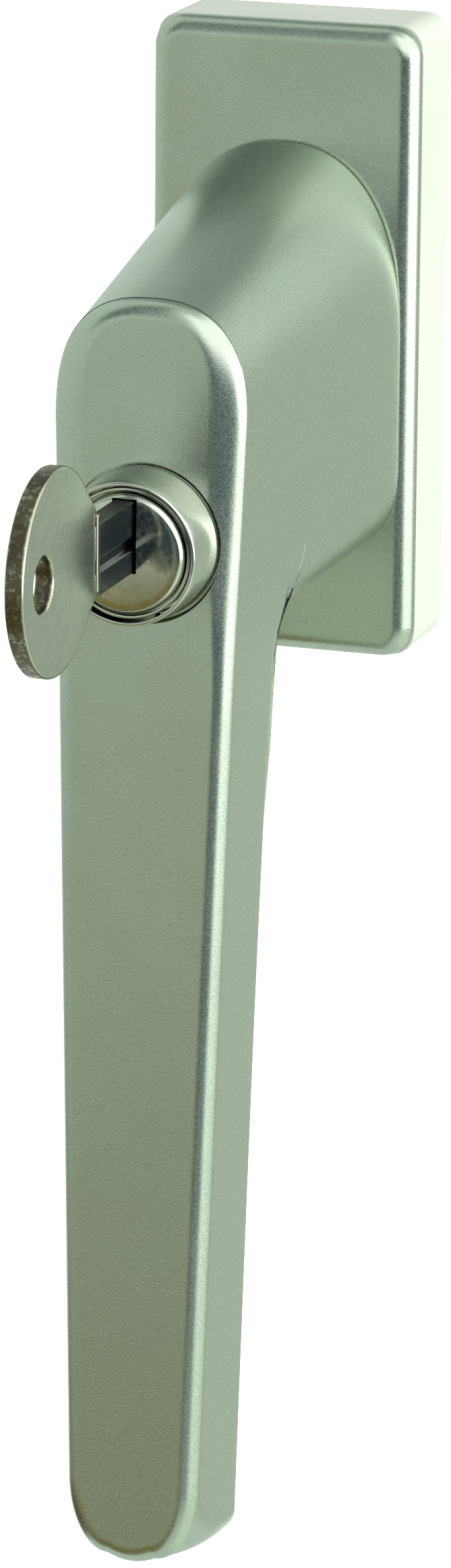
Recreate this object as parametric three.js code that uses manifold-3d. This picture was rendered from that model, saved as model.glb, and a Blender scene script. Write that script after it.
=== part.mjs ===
// Lockable tilt and turn window handle, in millimetres.
//
// The origin is on the spindle's axis, in the plane where the rosette meets the
// sash. +Y goes into the sash, +Z is up and +X is to the right for someone who
// stands in the room and faces the window. The lever hangs down, which is the
// closed position, the lock is open and the key is in it.

import * as THREE from "three";
import { mergeVertices } from "three/addons/utils/BufferGeometryUtils.js";
import Module from "manifold-3d";

const wasm = await Module();
wasm.setup();

// ---------------------------------------------------------------- dimensions

const GAP = 0.3; // between pieces that rest on each other
const RUNNING_GAP = 0.2; // round a piece that turns or slides
const ROUND = 40; // sides of the large circles round the spindle

// Rosette: the plastic base and the metal cover have one outline.
const ROSETTE_WIDTH = 29.4;
const ROSETTE_HEIGHT = 68;
const ROSETTE_CORNER = 3.5;
const BASE_CORNER = 2.6;
const BASE_DEPTH = 10;
const BASE_FLOOR = 1.6;
const COVER_FRONT = 12.35;
const COVER_WALL = 1;
const COVER_EDGE = 1.3;
const SCREW_SPACING = 43;
const SCREW_RADIUS = 2.4;
const SCREW_HEAD_RADIUS = 4.8;
const SCREW_LENGTH = 45;
const SPIGOT_RADIUS = 5;
const SPIGOT_LENGTH = 8;

// Bearing and index, on the spindle's axis.
const JOURNAL_RADIUS = 11.7;
const POCKET_RADIUS = 13;
const LEDGE_RADIUS = 11.2;
const STUB_RADIUS = 6.2;
const STUB_END = 0.6;
const DISC_BACK = 3.8;
const DISC_THICKNESS = 1.8;
const DISC_RADIUS = 12.7;
const DISC_TAB = 1.1;
const DISC_TAB_HALF_WIDTH = 1.5;
const DETENT_RADIUS = 9.6; // from the spindle's axis to a dimple
const DIMPLE_RADIUS = 1.5;
const BALL_RADIUS = 2;
const DETENT_BORE = 9.5; // length of the bore for a ball and its spring

// Spindle.
const SPINDLE_SIDE = 7;
const SPINDLE_REACH = 35; // beyond the mounting plane
const SPINDLE_FRONT = 30; // inside the neck
const PIN_RADIUS = 1.5;
const PIN_DEPTH = 22;

// Neck of the lever, from its foot on the cover to the lever.
const FOOT = COVER_FRONT + GAP;
const NECK_END = 38;
const NECK_HALF_WIDTH = 13.5;
const NECK_TOP = 21.5;
const NECK_STRAIGHT = 11; // height of the straight sides under the axis
const NECK_UNDERSIDE = 22; // depth of the underside at NECK_UNDERSIDE_X
const NECK_UNDERSIDE_X = 8;
const NECK_UNDERSIDE_FALL = 1.3; // how much deeper the underside gets towards the head
const NECK_ROUNDNESS = 3.2; // power of the superellipse under the straight sides
const NECK_FILLET = 4.2;

// Lever.
const LEVER_HALF_WIDTH = 10.2;
const LEVER_TOP = 12.6;
const LEVER_SHOULDER_Z = -20;
const LEVER_SHOULDER_HALF_WIDTH = 9.55;
const LEVER_TIP_HALF_WIDTH = 6.95;
const LEVER_TIP_Z = -121.2;
const LEVER_TIP_CORNER = { across: [2, 4.6], up: [2.2, 8.5] }; // at the back, at the front
const LEVER_TIP_LEAN = 1; // how much lower the tip is at the back
const LEVER_TIP_SAG = 0.6; // the tip's edge is a shallow arc
const LEVER_FRONT = 58.53; // depth of the front face at LEVER_FRONT_Z
const LEVER_FRONT_Z = -60;
const LEVER_FRONT_SLOPE = 0.033;
const LEVER_FRONT_EDGE = 1.9;
const LEVER_BACK_EDGE = 1;
const LEVER_BACK_FALL = 2; // how far the back curves forward under the neck
const LEVER_BACK_RUN = 22;
const LEVER_BACK_SLOPE = 0.011;
const LEVER_BACK_START_Z = -28;
const FLARE_START_Z = -14; // above this the lever's side is the neck's side
const FLARE_END_Z = -28;

// Lock, on an axis of its own in the lever's head.
const LOCK_Z = -12;
const BEZEL_FRONT = 62.9;
const BEZEL_BASE_RADIUS = 7.9;
const BEZEL_RIM_RADIUS = 7.4;
const BEZEL_BORE = 7;
const BEZEL_SEAT = 56.1;
const HOUSING_RADIUS = 7.2;
const HOUSING_NOSE_RADIUS = 6.75;
const HOUSING_NOSE = 62.3;
const HOUSING_BACK = 44.7;
const HOUSING_SCREW_RADIUS = 1.5;
const HOUSING_SCREW_DEPTH = 50;
const PLUG_FACE_RADIUS = 6.25;
const PLUG_FACE = 63.1;
const PLUG_RADIUS = 6;
const PLUG_BACK = 42.9;
const KEYWAY_HALF_WIDTH = 1.3;
const WAFER_COUNT = 5;
const WAFER_FIRST = 59.6;
const WAFER_PITCH = 3;
const WAFER_THICKNESS = 0.9;

// Locking bolt, in the neck under the spindle.
const BOLT_Z = -DETENT_RADIUS;
const BOLT_RADIUS = 1.6;
const BOLT_TRAVEL = 3.6;
const CAM_RADIUS = 5.8;
const CAM_BORE = 4.75;
const CAM_FRONT = 42.6;
const CAM_BACK = 34.6;
const FOLLOWER_DEPTH = 41.6;
const FOLLOWER_THICKNESS = 2;
const LUG_RADIUS = 0.7;
const BOLT_SPRING_SEAT = 23;
const BOLT_SPRING_POCKET = 2.45; // radius

// Key.
const BLADE_HALF_THICKNESS = 1.05;
const BLADE_LOW = LOCK_Z - 1.7;
const BLADE_HIGH = LOCK_Z + 5.6;
const BLADE_TIP = 44.6;
const KEY_SHOULDER = 73.7;
const KEY_SHOULDER_LOW = -13.5;
const KEY_SHOULDER_HIGH = -4.95;
const BOW_Y = 85;
const BOW_Z = -8.7;
const BOW_RADIUS = 10.4;
const BOW_HALF_THICKNESS = 1;
const BOW_EDGE = 0.35;
const RING_HOLE_RADIUS = 2.75;
const RING_HOLE_Y = 89.4;
const RING_HOLE_Z = -8.9;

// ------------------------------------------------------------------- solids

// Turns a closed triangle mesh the right way out.
function facingOut(geometry) {
  const position = geometry.getAttribute("position");
  const index = geometry.getIndex();
  const corners = [new THREE.Vector3(), new THREE.Vector3(), new THREE.Vector3()];
  let volume = 0;
  for (let i = 0; i < index.count; i += 3) {
    corners.forEach((corner, c) => corner.fromBufferAttribute(position, index.getX(i + c)));
    volume += corners[0].dot(corners[1].cross(corners[2]));
  }
  if (volume < 0) {
    for (let i = 0; i < index.count; i += 3) {
      const second = index.getX(i + 1);
      index.setX(i + 1, index.getX(i + 2));
      index.setX(i + 2, second);
    }
  }
  return geometry;
}

// Keeps only the positions, with shared corners merged.
function bare(geometry) {
  const copy = geometry.clone();
  for (const name of Object.keys(copy.attributes)) {
    if (name !== "position") copy.deleteAttribute(name);
  }
  return facingOut(mergeVertices(copy, 1e-5));
}

function solid(geometry) {
  const clean = bare(geometry);
  const vertProperties = new Float32Array(clean.getAttribute("position").array);
  const triVerts = new Uint32Array(clean.getIndex().array);
  return new wasm.Manifold(new wasm.Mesh({ numProp: 3, vertProperties, triVerts }));
}

function surface(body) {
  const mesh = body.getMesh();
  const geometry = new THREE.BufferGeometry();
  const position = new THREE.BufferAttribute(new Float32Array(mesh.vertProperties), 3);
  geometry.setAttribute("position", position);
  geometry.setIndex(new THREE.BufferAttribute(new Uint32Array(mesh.triVerts), 1));
  return geometry;
}

function cut(body, tools) {
  return tools.reduce((rest, tool) => rest.subtract(tool), body);
}

function join(bodies) {
  return bodies.reduce((whole, body) => whole.add(body));
}

// A round rod along Y between two depths, measured towards the room.
function rod(radius, back, front, { x = 0, z = 0, sides = 32, frontRadius = radius } = {}) {
  const rodGeometry = new THREE.CylinderGeometry(radius, frontRadius, front - back, sides);
  rodGeometry.translate(x, -(back + front) / 2, z);
  return solid(rodGeometry);
}

// A round rod along X.
function crossRod(radius, fromX, toX, depth, z, sides = 16) {
  const rodGeometry = new THREE.CylinderGeometry(radius, radius, toX - fromX, sides);
  rodGeometry.rotateZ(Math.PI / 2);
  rodGeometry.translate((fromX + toX) / 2, -depth, z);
  return solid(rodGeometry);
}

function block(halfWidth, back, front, low, high, x = 0) {
  const blockGeometry = new THREE.BoxGeometry(2 * halfWidth, front - back, high - low);
  blockGeometry.translate(x, -(back + front) / 2, (low + high) / 2);
  return solid(blockGeometry);
}

// A flat shape drawn in X and Z, as thick as the two depths are apart.
function plate(shape, back, front, options = {}) {
  const plateGeometry = new THREE.ExtrudeGeometry(shape, {
    depth: front - back,
    bevelEnabled: false,
    curveSegments: 3,
    ...options,
  });
  plateGeometry.rotateX(Math.PI / 2);
  plateGeometry.translate(0, -back, 0);
  return solid(plateGeometry);
}

// A turned piece: the profile holds [radius, depth] pairs and ends on the axis
// or closes on itself.
function turned(profile, { z = 0, sides = 28 } = {}) {
  const points = profile.map(([radius, depth]) => new THREE.Vector2(radius, -depth));
  const turnedGeometry = new THREE.LatheGeometry(points, sides);
  turnedGeometry.translate(0, 0, z);
  return solid(turnedGeometry);
}

// A flat ring; open leaves out a gap of that width at the top, as in a circlip.
function ring(outer, inner, back, front, { z = 0, sides = 28, open = 0 } = {}) {
  const whole = rod(outer, back, front, { z, sides });
  const tools = [rod(inner, back - 1, front + 1, { z, sides })];
  if (open > 0) tools.push(block(open / 2, back - 1, front + 1, z, z + outer + 1));
  return cut(whole, tools);
}

class Helix extends THREE.Curve {
  constructor(radius, turns, back, front, x, z) {
    super();
    Object.assign(this, { radius, turns, back, front, x, z });
  }

  getPoint(t, target = new THREE.Vector3()) {
    const angle = 2 * Math.PI * this.turns * t;
    return target.set(
      this.x + this.radius * Math.cos(angle),
      -(this.back + (this.front - this.back) * t),
      this.z + this.radius * Math.sin(angle),
    );
  }
}

function coilSpring(radius, wire, turns, back, front, x, z) {
  const stepsPerTurn = 8;
  const section = new THREE.Shape();
  section.absarc(0, 0, wire, 0, 2 * Math.PI);
  const path = new Helix(radius, turns, back + wire, front - wire, x, z);
  const springGeometry = new THREE.ExtrudeGeometry(section, {
    steps: Math.round(turns * stepsPerTurn),
    curveSegments: 3,
    extrudePath: path,
  });
  return solid(springGeometry);
}

function roundedRectangle(width, height, radius) {
  const x = width / 2;
  const z = height / 2;
  const shape = new THREE.Shape();
  shape.moveTo(-x + radius, -z);
  shape.lineTo(x - radius, -z);
  shape.absarc(x - radius, -z + radius, radius, -Math.PI / 2, 0);
  shape.lineTo(x, z - radius);
  shape.absarc(x - radius, z - radius, radius, 0, Math.PI / 2);
  shape.lineTo(-x + radius, z);
  shape.absarc(-x + radius, z - radius, radius, Math.PI / 2, Math.PI);
  shape.lineTo(-x, -z + radius);
  shape.absarc(-x + radius, -z + radius, radius, Math.PI, 1.5 * Math.PI);
  shape.closePath();
  return shape;
}

// ------------------------------------------------------------------ rosette

function countersink(z) {
  const straight = SCREW_RADIUS + GAP;
  const mouth = SCREW_HEAD_RADIUS + GAP + 0.1;
  const back = BASE_DEPTH - GAP - (SCREW_HEAD_RADIUS - SCREW_RADIUS) - GAP;
  const front = back + mouth - straight;
  return join([
    rod(straight, -SPIGOT_LENGTH - 1, BASE_DEPTH + 1, { z, sides: 18 }),
    rod(straight, back, front, { z, sides: 18, frontRadius: mouth }),
    rod(mouth, front, BASE_DEPTH + 1, { z, sides: 18 }),
  ]);
}

function mountingBase() {
  const outline = roundedRectangle(ROSETTE_WIDTH, ROSETTE_HEIGHT, BASE_CORNER);
  const parts = [plate(outline, 0, BASE_DEPTH)];
  const tools = [
    rod(POCKET_RADIUS, DISC_BACK - GAP / 2, BASE_DEPTH + 1, { sides: ROUND }),
    rod(LEDGE_RADIUS, BASE_FLOOR, BASE_DEPTH, { sides: ROUND }),
    rod(STUB_RADIUS + RUNNING_GAP, -1, BASE_DEPTH, { sides: 28 }),
  ];
  const tabDepth = POCKET_RADIUS + DISC_TAB;
  tools.push(block(DISC_TAB_HALF_WIDTH + GAP, DISC_BACK - GAP / 2, BASE_DEPTH + 1, -tabDepth, tabDepth));
  for (const side of [-1, 1]) {
    const z = (side * SCREW_SPACING) / 2;
    parts.push(rod(SPIGOT_RADIUS, -SPIGOT_LENGTH, 1, { z, sides: 20 }));
    tools.push(countersink(z));
    const inner = side * (ROSETTE_HEIGHT / 2 - 6.5);
    const outer = side * (ROSETTE_HEIGHT / 2 - 2);
    const low = Math.min(inner, outer);
    const high = Math.max(inner, outer);
    for (const x of [-5.5, 5.5]) tools.push(block(4, -1, BASE_DEPTH - 2, low, high, x));
  }
  return cut(join(parts), tools);
}

function rosetteCover() {
  const skirt = BASE_DEPTH + GAP / 2;
  const outline = roundedRectangle(ROSETTE_WIDTH, ROSETTE_HEIGHT, ROSETTE_CORNER);
  const cap = plate(outline, skirt - 1, COVER_FRONT - COVER_EDGE, {
    bevelEnabled: true,
    bevelSize: COVER_EDGE,
    bevelThickness: COVER_EDGE,
    bevelOffset: -COVER_EDGE,
    bevelSegments: 3,
    depth: COVER_FRONT - COVER_EDGE - skirt + 1,
    curveSegments: 3,
  });
  const width = ROSETTE_WIDTH - 2 * COVER_WALL;
  const height = ROSETTE_HEIGHT - 2 * COVER_WALL;
  const hollow = roundedRectangle(width, height, ROSETTE_CORNER - COVER_WALL);
  return cut(cap, [
    block(ROSETTE_WIDTH, skirt - 10, skirt, -ROSETTE_HEIGHT, ROSETTE_HEIGHT),
    plate(hollow, skirt - 1, COVER_FRONT - COVER_WALL),
    rod(JOURNAL_RADIUS + 2 * RUNNING_GAP, 0, COVER_FRONT + 1, { sides: ROUND }),
  ]);
}

// A locking disc with four dimples for the balls and four holes for the bolt.
function indexDisc() {
  const front = DISC_BACK + DISC_THICKNESS;
  const tab = DISC_RADIUS + DISC_TAB;
  const body = rod(DISC_RADIUS, DISC_BACK, front, { sides: ROUND });
  const tabs = block(DISC_TAB_HALF_WIDTH, DISC_BACK, front, -tab, tab);
  const tools = [rod(STUB_RADIUS + RUNNING_GAP, 0, BASE_DEPTH, { sides: 28 })];
  for (let quarter = 0; quarter < 4; quarter += 1) {
    const boltAngle = (quarter * Math.PI) / 2;
    const ballAngle = boltAngle + Math.PI / 4;
    const hole = { x: DETENT_RADIUS * Math.sin(boltAngle), z: -DETENT_RADIUS * Math.cos(boltAngle), sides: 16 };
    const dimple = { x: DETENT_RADIUS * Math.sin(ballAngle), z: DETENT_RADIUS * Math.cos(ballAngle), sides: 12 };
    tools.push(rod(BOLT_RADIUS + GAP, 0, BASE_DEPTH, hole));
    tools.push(rod(DIMPLE_RADIUS, 0, BASE_DEPTH, dimple));
  }
  return cut(body.add(tabs), tools);
}

// A split plastic bush round the lever's journal.
function bearingBush() {
  const back = DISC_BACK + DISC_THICKNESS + GAP;
  const outer = POCKET_RADIUS - RUNNING_GAP;
  const inner = JOURNAL_RADIUS + RUNNING_GAP;
  return ring(outer, inner, back, BASE_DEPTH - GAP, { sides: ROUND, open: 1.5 });
}

function fixingScrew(z) {
  const top = BASE_DEPTH - GAP;
  const neck = top - (SCREW_HEAD_RADIUS - SCREW_RADIUS);
  const tip = top - SCREW_LENGTH;
  const profile = [
    [0, tip],
    [SCREW_RADIUS - 0.6, tip],
    [SCREW_RADIUS, tip + 1],
    [SCREW_RADIUS, neck],
    [SCREW_HEAD_RADIUS, top - 0.4],
    [SCREW_HEAD_RADIUS - 0.2, top],
    [0, top],
  ];
  const body = turned(profile, { z, sides: 20 });
  const recess = [
    block(2.4, top - 2, top + 1, z - 0.55, z + 0.55),
    block(0.55, top - 2, top + 1, z - 2.4, z + 2.4),
  ];
  return cut(body, recess);
}

// -------------------------------------------------------------------- lever

// The point on a quarter of a superellipse; angle 0 is on its second half axis.
function superellipse(halfWidth, height, power, angle) {
  const across = halfWidth * Math.sin(angle) ** (2 / power);
  const up = height * Math.cos(angle) ** (2 / power);
  return [across, up];
}

function mix(from, to, share) {
  return from + (to - from) * share;
}

// How far between the neck's foot and the head's front edge a depth is.
function neckShare(depth) {
  const end = frontDepth(0) - LEVER_FRONT_EDGE;
  return Math.min(1, (depth - FOOT) / (end - FOOT));
}

const ARCH_STEPS = 8;
const LOWER_STEPS = 17;
const STRAIGHT_STEPS = 2;
const CORNER_STEP = 10; // the neck's corner lies before this step
const SIDE_STEPS = 11;
const CORNER_STEPS = 4;

// The arch over the axis, which runs from the neck's top to the lever's head.
function archPoint(step, depth, inset) {
  const share = neckShare(depth);
  const halfWidth = mix(NECK_HALF_WIDTH, LEVER_HALF_WIDTH, share) - inset;
  const top = mix(NECK_TOP, LEVER_TOP, share) - inset;
  return superellipse(halfWidth, top, mix(2.35, 2.5, share), (step / ARCH_STEPS) * (Math.PI / 2));
}

// Height of the neck's rounded underside at x, as a share of its height in the middle.
function undersideReach(x, halfWidth) {
  return Math.max(0, 1 - (Math.abs(x) / halfWidth) ** NECK_ROUNDNESS) ** (1 / NECK_ROUNDNESS);
}

// The lower half of the neck: straight sides, then half a superellipse.
function neckPoint(step, depth) {
  const share = neckShare(depth);
  if (step <= STRAIGHT_STEPS) {
    const z = (-NECK_STRAIGHT * step) / STRAIGHT_STEPS;
    return [mix(NECK_HALF_WIDTH, leverHalfWidth(z), share), z];
  }
  const halfWidth = mix(NECK_HALF_WIDTH, leverHalfWidth(-NECK_STRAIGHT), share);
  const angle = ((step - STRAIGHT_STEPS) / (LOWER_STEPS - STRAIGHT_STEPS)) * (Math.PI / 2);
  const underside = NECK_UNDERSIDE + NECK_UNDERSIDE_FALL * share - NECK_STRAIGHT;
  const height = underside / undersideReach(NECK_UNDERSIDE_X, halfWidth);
  const [down, x] = superellipse(height, halfWidth, NECK_ROUNDNESS, angle);
  return [x, -NECK_STRAIGHT - down];
}

function leverHalfWidth(z) {
  const share = (z - LEVER_SHOULDER_Z) / (LEVER_TIP_Z - LEVER_SHOULDER_Z);
  if (share > 0) return mix(LEVER_SHOULDER_HALF_WIDTH, LEVER_TIP_HALF_WIDTH, share);
  return mix(LEVER_HALF_WIDTH, LEVER_SHOULDER_HALF_WIDTH, z / LEVER_SHOULDER_Z);
}

// How much wider than the lever its side is where it runs on from the neck.
function flare(depth, z) {
  const near = Math.min(1, Math.max(0, (z - FLARE_END_Z) / (FLARE_START_Z - FLARE_END_Z)));
  const blend = near * near * (3 - 2 * near);
  return blend * (1 - neckShare(depth)) * (NECK_HALF_WIDTH - leverHalfWidth(z));
}

// Half width of the corner where the neck's side and underside run into the lever's side.
function cornerHalfWidth(depth, z) {
  if (z > -NECK_STRAIGHT) return Infinity;
  const share = Math.min(1, Math.max(0, (depth - NECK_END) / 3));
  const halfWidth = mix(NECK_HALF_WIDTH, leverHalfWidth(-NECK_STRAIGHT), neckShare(NECK_END));
  const [, lowest] = neckPoint(LOWER_STEPS, NECK_END);
  const outline = halfWidth * undersideReach(-NECK_STRAIGHT - z, -NECK_STRAIGHT - lowest);
  return mix(outline, leverHalfWidth(z) + flare(depth, z), share);
}

// Size of the lever's back edge, which fades out beside the neck.
function backEdge(step) {
  return LEVER_BACK_EDGE * Math.min(1, Math.max(0, (step - 3) / 3));
}

// The lower half of the lever: a tapering side, an oval corner, the tip's edge.
// Forward is 0 at the lever's back and 1 at its front.
function leverPoint(step, inset, forward) {
  const roundness = forward ** 3;
  const across = mix(...LEVER_TIP_CORNER.across, roundness) - inset * 0.8;
  const up = mix(...LEVER_TIP_CORNER.up, roundness) - inset;
  const tip = LEVER_TIP_Z + inset - LEVER_TIP_LEAN * (1 - forward);
  const sideEnd = tip + LEVER_TIP_SAG + up;
  if (step <= SIDE_STEPS) {
    const z = sideEnd * (step / SIDE_STEPS) ** 1.5;
    return [leverHalfWidth(z) - inset, z];
  }
  const side = leverHalfWidth(sideEnd) - inset;
  const beyond = step - SIDE_STEPS;
  if (beyond <= CORNER_STEPS) {
    const angle = (beyond / CORNER_STEPS) * (Math.PI / 2);
    return [side - across * (1 - Math.cos(angle)), sideEnd - up * Math.sin(angle)];
  }
  const share = (beyond - CORNER_STEPS) / (LOWER_STEPS - SIDE_STEPS - CORNER_STEPS);
  const sag = LEVER_TIP_SAG * (1 - (1 - share) ** 2);
  return [(side - across) * (1 - share), sideEnd - up - sag];
}

function frontDepth(z) {
  return LEVER_FRONT - LEVER_FRONT_SLOPE * (z - LEVER_FRONT_Z);
}

// Depth of the surface behind the lever at a point that lies below the neck.
function backDepth(x, z) {
  const halfWidth = mix(NECK_HALF_WIDTH, LEVER_HALF_WIDTH, neckShare(NECK_END));
  const reach = undersideReach(x, halfWidth);
  const [, lowest] = neckPoint(LOWER_STEPS, NECK_END);
  const underside = -NECK_STRAIGHT + (lowest + NECK_STRAIGHT) * reach;
  const below = Math.min(Math.max(underside - z, 0), NECK_FILLET);
  const fillet = Math.sqrt(NECK_FILLET ** 2 - (NECK_FILLET - below) ** 2);
  const run = Math.min(0, z - LEVER_BACK_START_Z);
  const curve = LEVER_BACK_FALL * (1 - Math.exp(run / LEVER_BACK_RUN));
  return NECK_END + fillet + curve - LEVER_BACK_SLOPE * run;
}

// Half of one ring of the lever's skin, from its top to its lowest point.
function ringOf(archDepth, archInset, lowerPoint) {
  const points = [];
  for (let step = 0; step < ARCH_STEPS; step += 1) {
    const [x, z] = archPoint(step, archDepth, archInset);
    points.push([x, -archDepth, z]);
  }
  for (let step = 0; step <= LOWER_STEPS; step += 1) points.push(lowerPoint(step));
  return points;
}

function neckRing(depth) {
  return ringOf(depth, 0, (step) => {
    const [x, z] = neckPoint(step, depth);
    return [x, -depth, z];
  });
}

// The skin goes down the lever's back as share goes from 0 to 1.
function backRing(share) {
  const shallow = NECK_END + 3 * share;
  return ringOf(shallow, 0, (step) => {
    const [neckX, neckZ] = neckPoint(step, shallow);
    const [leverX, leverZ] = leverPoint(step, backEdge(step), 0);
    const wide = leverX + flare(shallow, leverZ);
    const leverDepth = Math.max(shallow, backDepth(wide, leverZ));
    const straight = mix(neckX, leverX + flare(leverDepth, leverZ), share);
    const z = mix(neckZ, leverZ, share);
    const nearDepth = Math.max(shallow, backDepth(straight, z));
    const x = step < CORNER_STEP ? Math.min(straight, cornerHalfWidth(nearDepth, z)) : straight;
    return [x, -Math.max(shallow, backDepth(x, z)), z];
  });
}

// A ring round the lever: turn goes from 0, on the back face, to 1, on the side.
function backEdgeRing(turn) {
  const angle = (turn * Math.PI) / 2;
  const archDepth = NECK_END + 3 + LEVER_BACK_EDGE * (1 - Math.cos(angle)) + turn;
  return ringOf(archDepth, 0, (step) => {
    const [x, z] = leverPoint(step, backEdge(step) * (1 - Math.sin(angle)), 0);
    const back = Math.max(NECK_END + 3, backDepth(x + flare(NECK_END + 3, z), z));
    const high = Math.max(0, 1 - step / 6);
    const depth = back + LEVER_BACK_EDGE * (1 - Math.cos(angle)) + turn * high;
    return [x + flare(depth, z), -depth, z];
  });
}

// A ring at a share of the way along the lever's side to the front edge.
function sideRing(share) {
  const start = NECK_END + 4 + LEVER_BACK_EDGE;
  const archDepth = mix(start, frontDepth(0) - LEVER_FRONT_EDGE, share);
  return ringOf(archDepth, 0, (step) => {
    const [x, z] = leverPoint(step, 0, share);
    const high = Math.max(0, 1 - step / 6);
    const behind = Math.max(NECK_END + 3, backDepth(x + flare(NECK_END + 3, z), z));
    const back = behind + LEVER_BACK_EDGE + high;
    const depth = mix(back, frontDepth(z) - LEVER_FRONT_EDGE, share);
    return [x + flare(depth, z), -depth, z];
  });
}

function frontEdgeRing(turn) {
  const angle = (turn * Math.PI) / 2;
  const inset = LEVER_FRONT_EDGE * (1 - Math.cos(angle));
  const rise = LEVER_FRONT_EDGE * (1 - Math.sin(angle));
  const half = ringOf(LEVER_FRONT, inset, (step) => {
    const [x, z] = leverPoint(step, inset, 1);
    return [x, 0, z];
  });
  return half.map(([x, , z]) => [x, -(frontDepth(z) - rise), z]);
}

// Joins half rings and their mirror images into one closed skin.
function skinOf(halves) {
  const count = halves[0].length;
  const around = 2 * count - 2;
  const positions = [];
  for (const half of halves) {
    for (let i = 0; i < around; i += 1) {
      const mirrored = i >= count;
      const [x, y, z] = half[mirrored ? around - i : i];
      const onAxis = i === 0 || i === count - 1;
      positions.push(onAxis ? 0 : mirrored ? -x : x, y, z);
    }
  }
  const index = [];
  for (let r = 0; r < halves.length - 1; r += 1) {
    for (let i = 0; i < around; i += 1) {
      const next = (i + 1) % around;
      const a = r * around + i;
      const b = r * around + next;
      index.push(a, a + around, b, b, a + around, b + around);
    }
  }
  const last = (halves.length - 1) * around;
  for (let i = 0; i < count - 1; i += 1) {
    const mirror = (around - i) % around;
    const nextMirror = around - i - 1;
    for (const [first, flip] of [[0, false], [last, true]]) {
      const quad = [first + i, first + i + 1, first + nextMirror, first + mirror];
      if (flip) quad.reverse();
      if (quad[0] !== quad[3]) index.push(quad[0], quad[1], quad[3]);
      if (quad[1] !== quad[2]) index.push(quad[1], quad[2], quad[3]);
    }
  }
  const geometry = new THREE.BufferGeometry();
  geometry.setAttribute("position", new THREE.Float32BufferAttribute(positions, 3));
  geometry.setIndex(index);
  return geometry;
}

function leverSkin() {
  const neckDepths = [FOOT, 19.5, 26.5, 31, NECK_END];
  const backShares = [0.015, 0.04, 0.08, 0.16, 0.3, 0.5, 0.75, 1];
  const halves = [
    ...neckDepths.map(neckRing),
    ...backShares.map(backRing),
    ...[1 / 3, 2 / 3, 1].map(backEdgeRing),
    sideRing(0.5),
    ...[0, 1 / 3, 2 / 3, 1].map(frontEdgeRing),
  ];
  return solid(skinOf(halves));
}

function detentPlaces() {
  return [1, -1].map((side) => {
    const across = (side * DETENT_RADIUS) / Math.SQRT2;
    return { x: across, z: across };
  });
}

function leverHandle() {
  const rear = DISC_BACK + DISC_THICKNESS + GAP;
  const socket = SPINDLE_SIDE / 2 + 0.15;
  const body = join([
    leverSkin(),
    rod(JOURNAL_RADIUS, rear, FOOT + 1, { sides: ROUND }),
    rod(STUB_RADIUS, STUB_END, rear + 1, { sides: 28 }),
  ]);
  const lockBore = { z: LOCK_Z, sides: 28 };
  const tools = [
    block(socket, 0, SPINDLE_FRONT + GAP, -socket, socket),
    ring(STUB_RADIUS + 1, STUB_RADIUS - 0.6, 1.8, 2.9),
    rod(HOUSING_RADIUS + 0.15, CAM_BACK - GAP, LEVER_FRONT + 5, lockBore),
    rod(BEZEL_BASE_RADIUS + 0.25, BEZEL_SEAT, LEVER_FRONT + 5, lockBore),
    rod(BOLT_RADIUS + RUNNING_GAP, 0, CAM_BACK, { z: BOLT_Z, sides: 16 }),
    rod(BOLT_SPRING_POCKET, BOLT_SPRING_SEAT, CAM_BACK, { z: BOLT_Z, sides: 16 }),
    crossRod(PIN_RADIUS + 0.15, -20, 7.2, PIN_DEPTH, 0),
    crossRod(HOUSING_SCREW_RADIUS + 0.2, -20, 0, HOUSING_SCREW_DEPTH, LOCK_Z),
  ];
  for (const place of detentPlaces()) {
    tools.push(rod(BALL_RADIUS + 0.15, 0, rear + DETENT_BORE, { ...place, sides: 20 }));
  }
  return cut(body, tools);
}

// ---------------------------------------------------- spindle and retention

function spindle() {
  const half = SPINDLE_SIDE / 2;
  const bar = block(half, -SPINDLE_REACH, SPINDLE_FRONT, -half, half);
  const corner = 0.55;
  const edges = [];
  for (const angle of [45, 135, 225, 315]) {
    const edge = new THREE.BoxGeometry(4, 2 * SPINDLE_REACH + 4 * half, 4);
    edge.translate(half * Math.SQRT2 - corner + 2, 0, 0);
    edge.rotateY((angle * Math.PI) / 180);
    edges.push(solid(edge));
  }
  return cut(bar, [...edges, crossRod(PIN_RADIUS + 0.1, -9, 9, PIN_DEPTH, 0)]);
}

function spindlePin() {
  return crossRod(PIN_RADIUS, -10.4, 6.9, PIN_DEPTH, 0);
}

function retainingRing() {
  return ring(STUB_RADIUS + 0.9, STUB_RADIUS - 0.45, 1.95, 2.75, { open: 3 });
}

function thrustWasher() {
  return ring(STUB_RADIUS + 1.1, STUB_RADIUS + RUNNING_GAP, 3, 3.6);
}

function detentBall({ x, z }) {
  const ball = new THREE.SphereGeometry(BALL_RADIUS, 10, 8);
  const front = DISC_BACK + DISC_THICKNESS + GAP;
  ball.translate(x, -(front + BALL_RADIUS), z);
  return solid(ball);
}

function detentSpring({ x, z }) {
  const front = DISC_BACK + DISC_THICKNESS + GAP + 2 * BALL_RADIUS + 0.1;
  return coilSpring(1.35, 0.3, 3, front, front + 5, x, z);
}

// --------------------------------------------------------------------- lock

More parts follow.
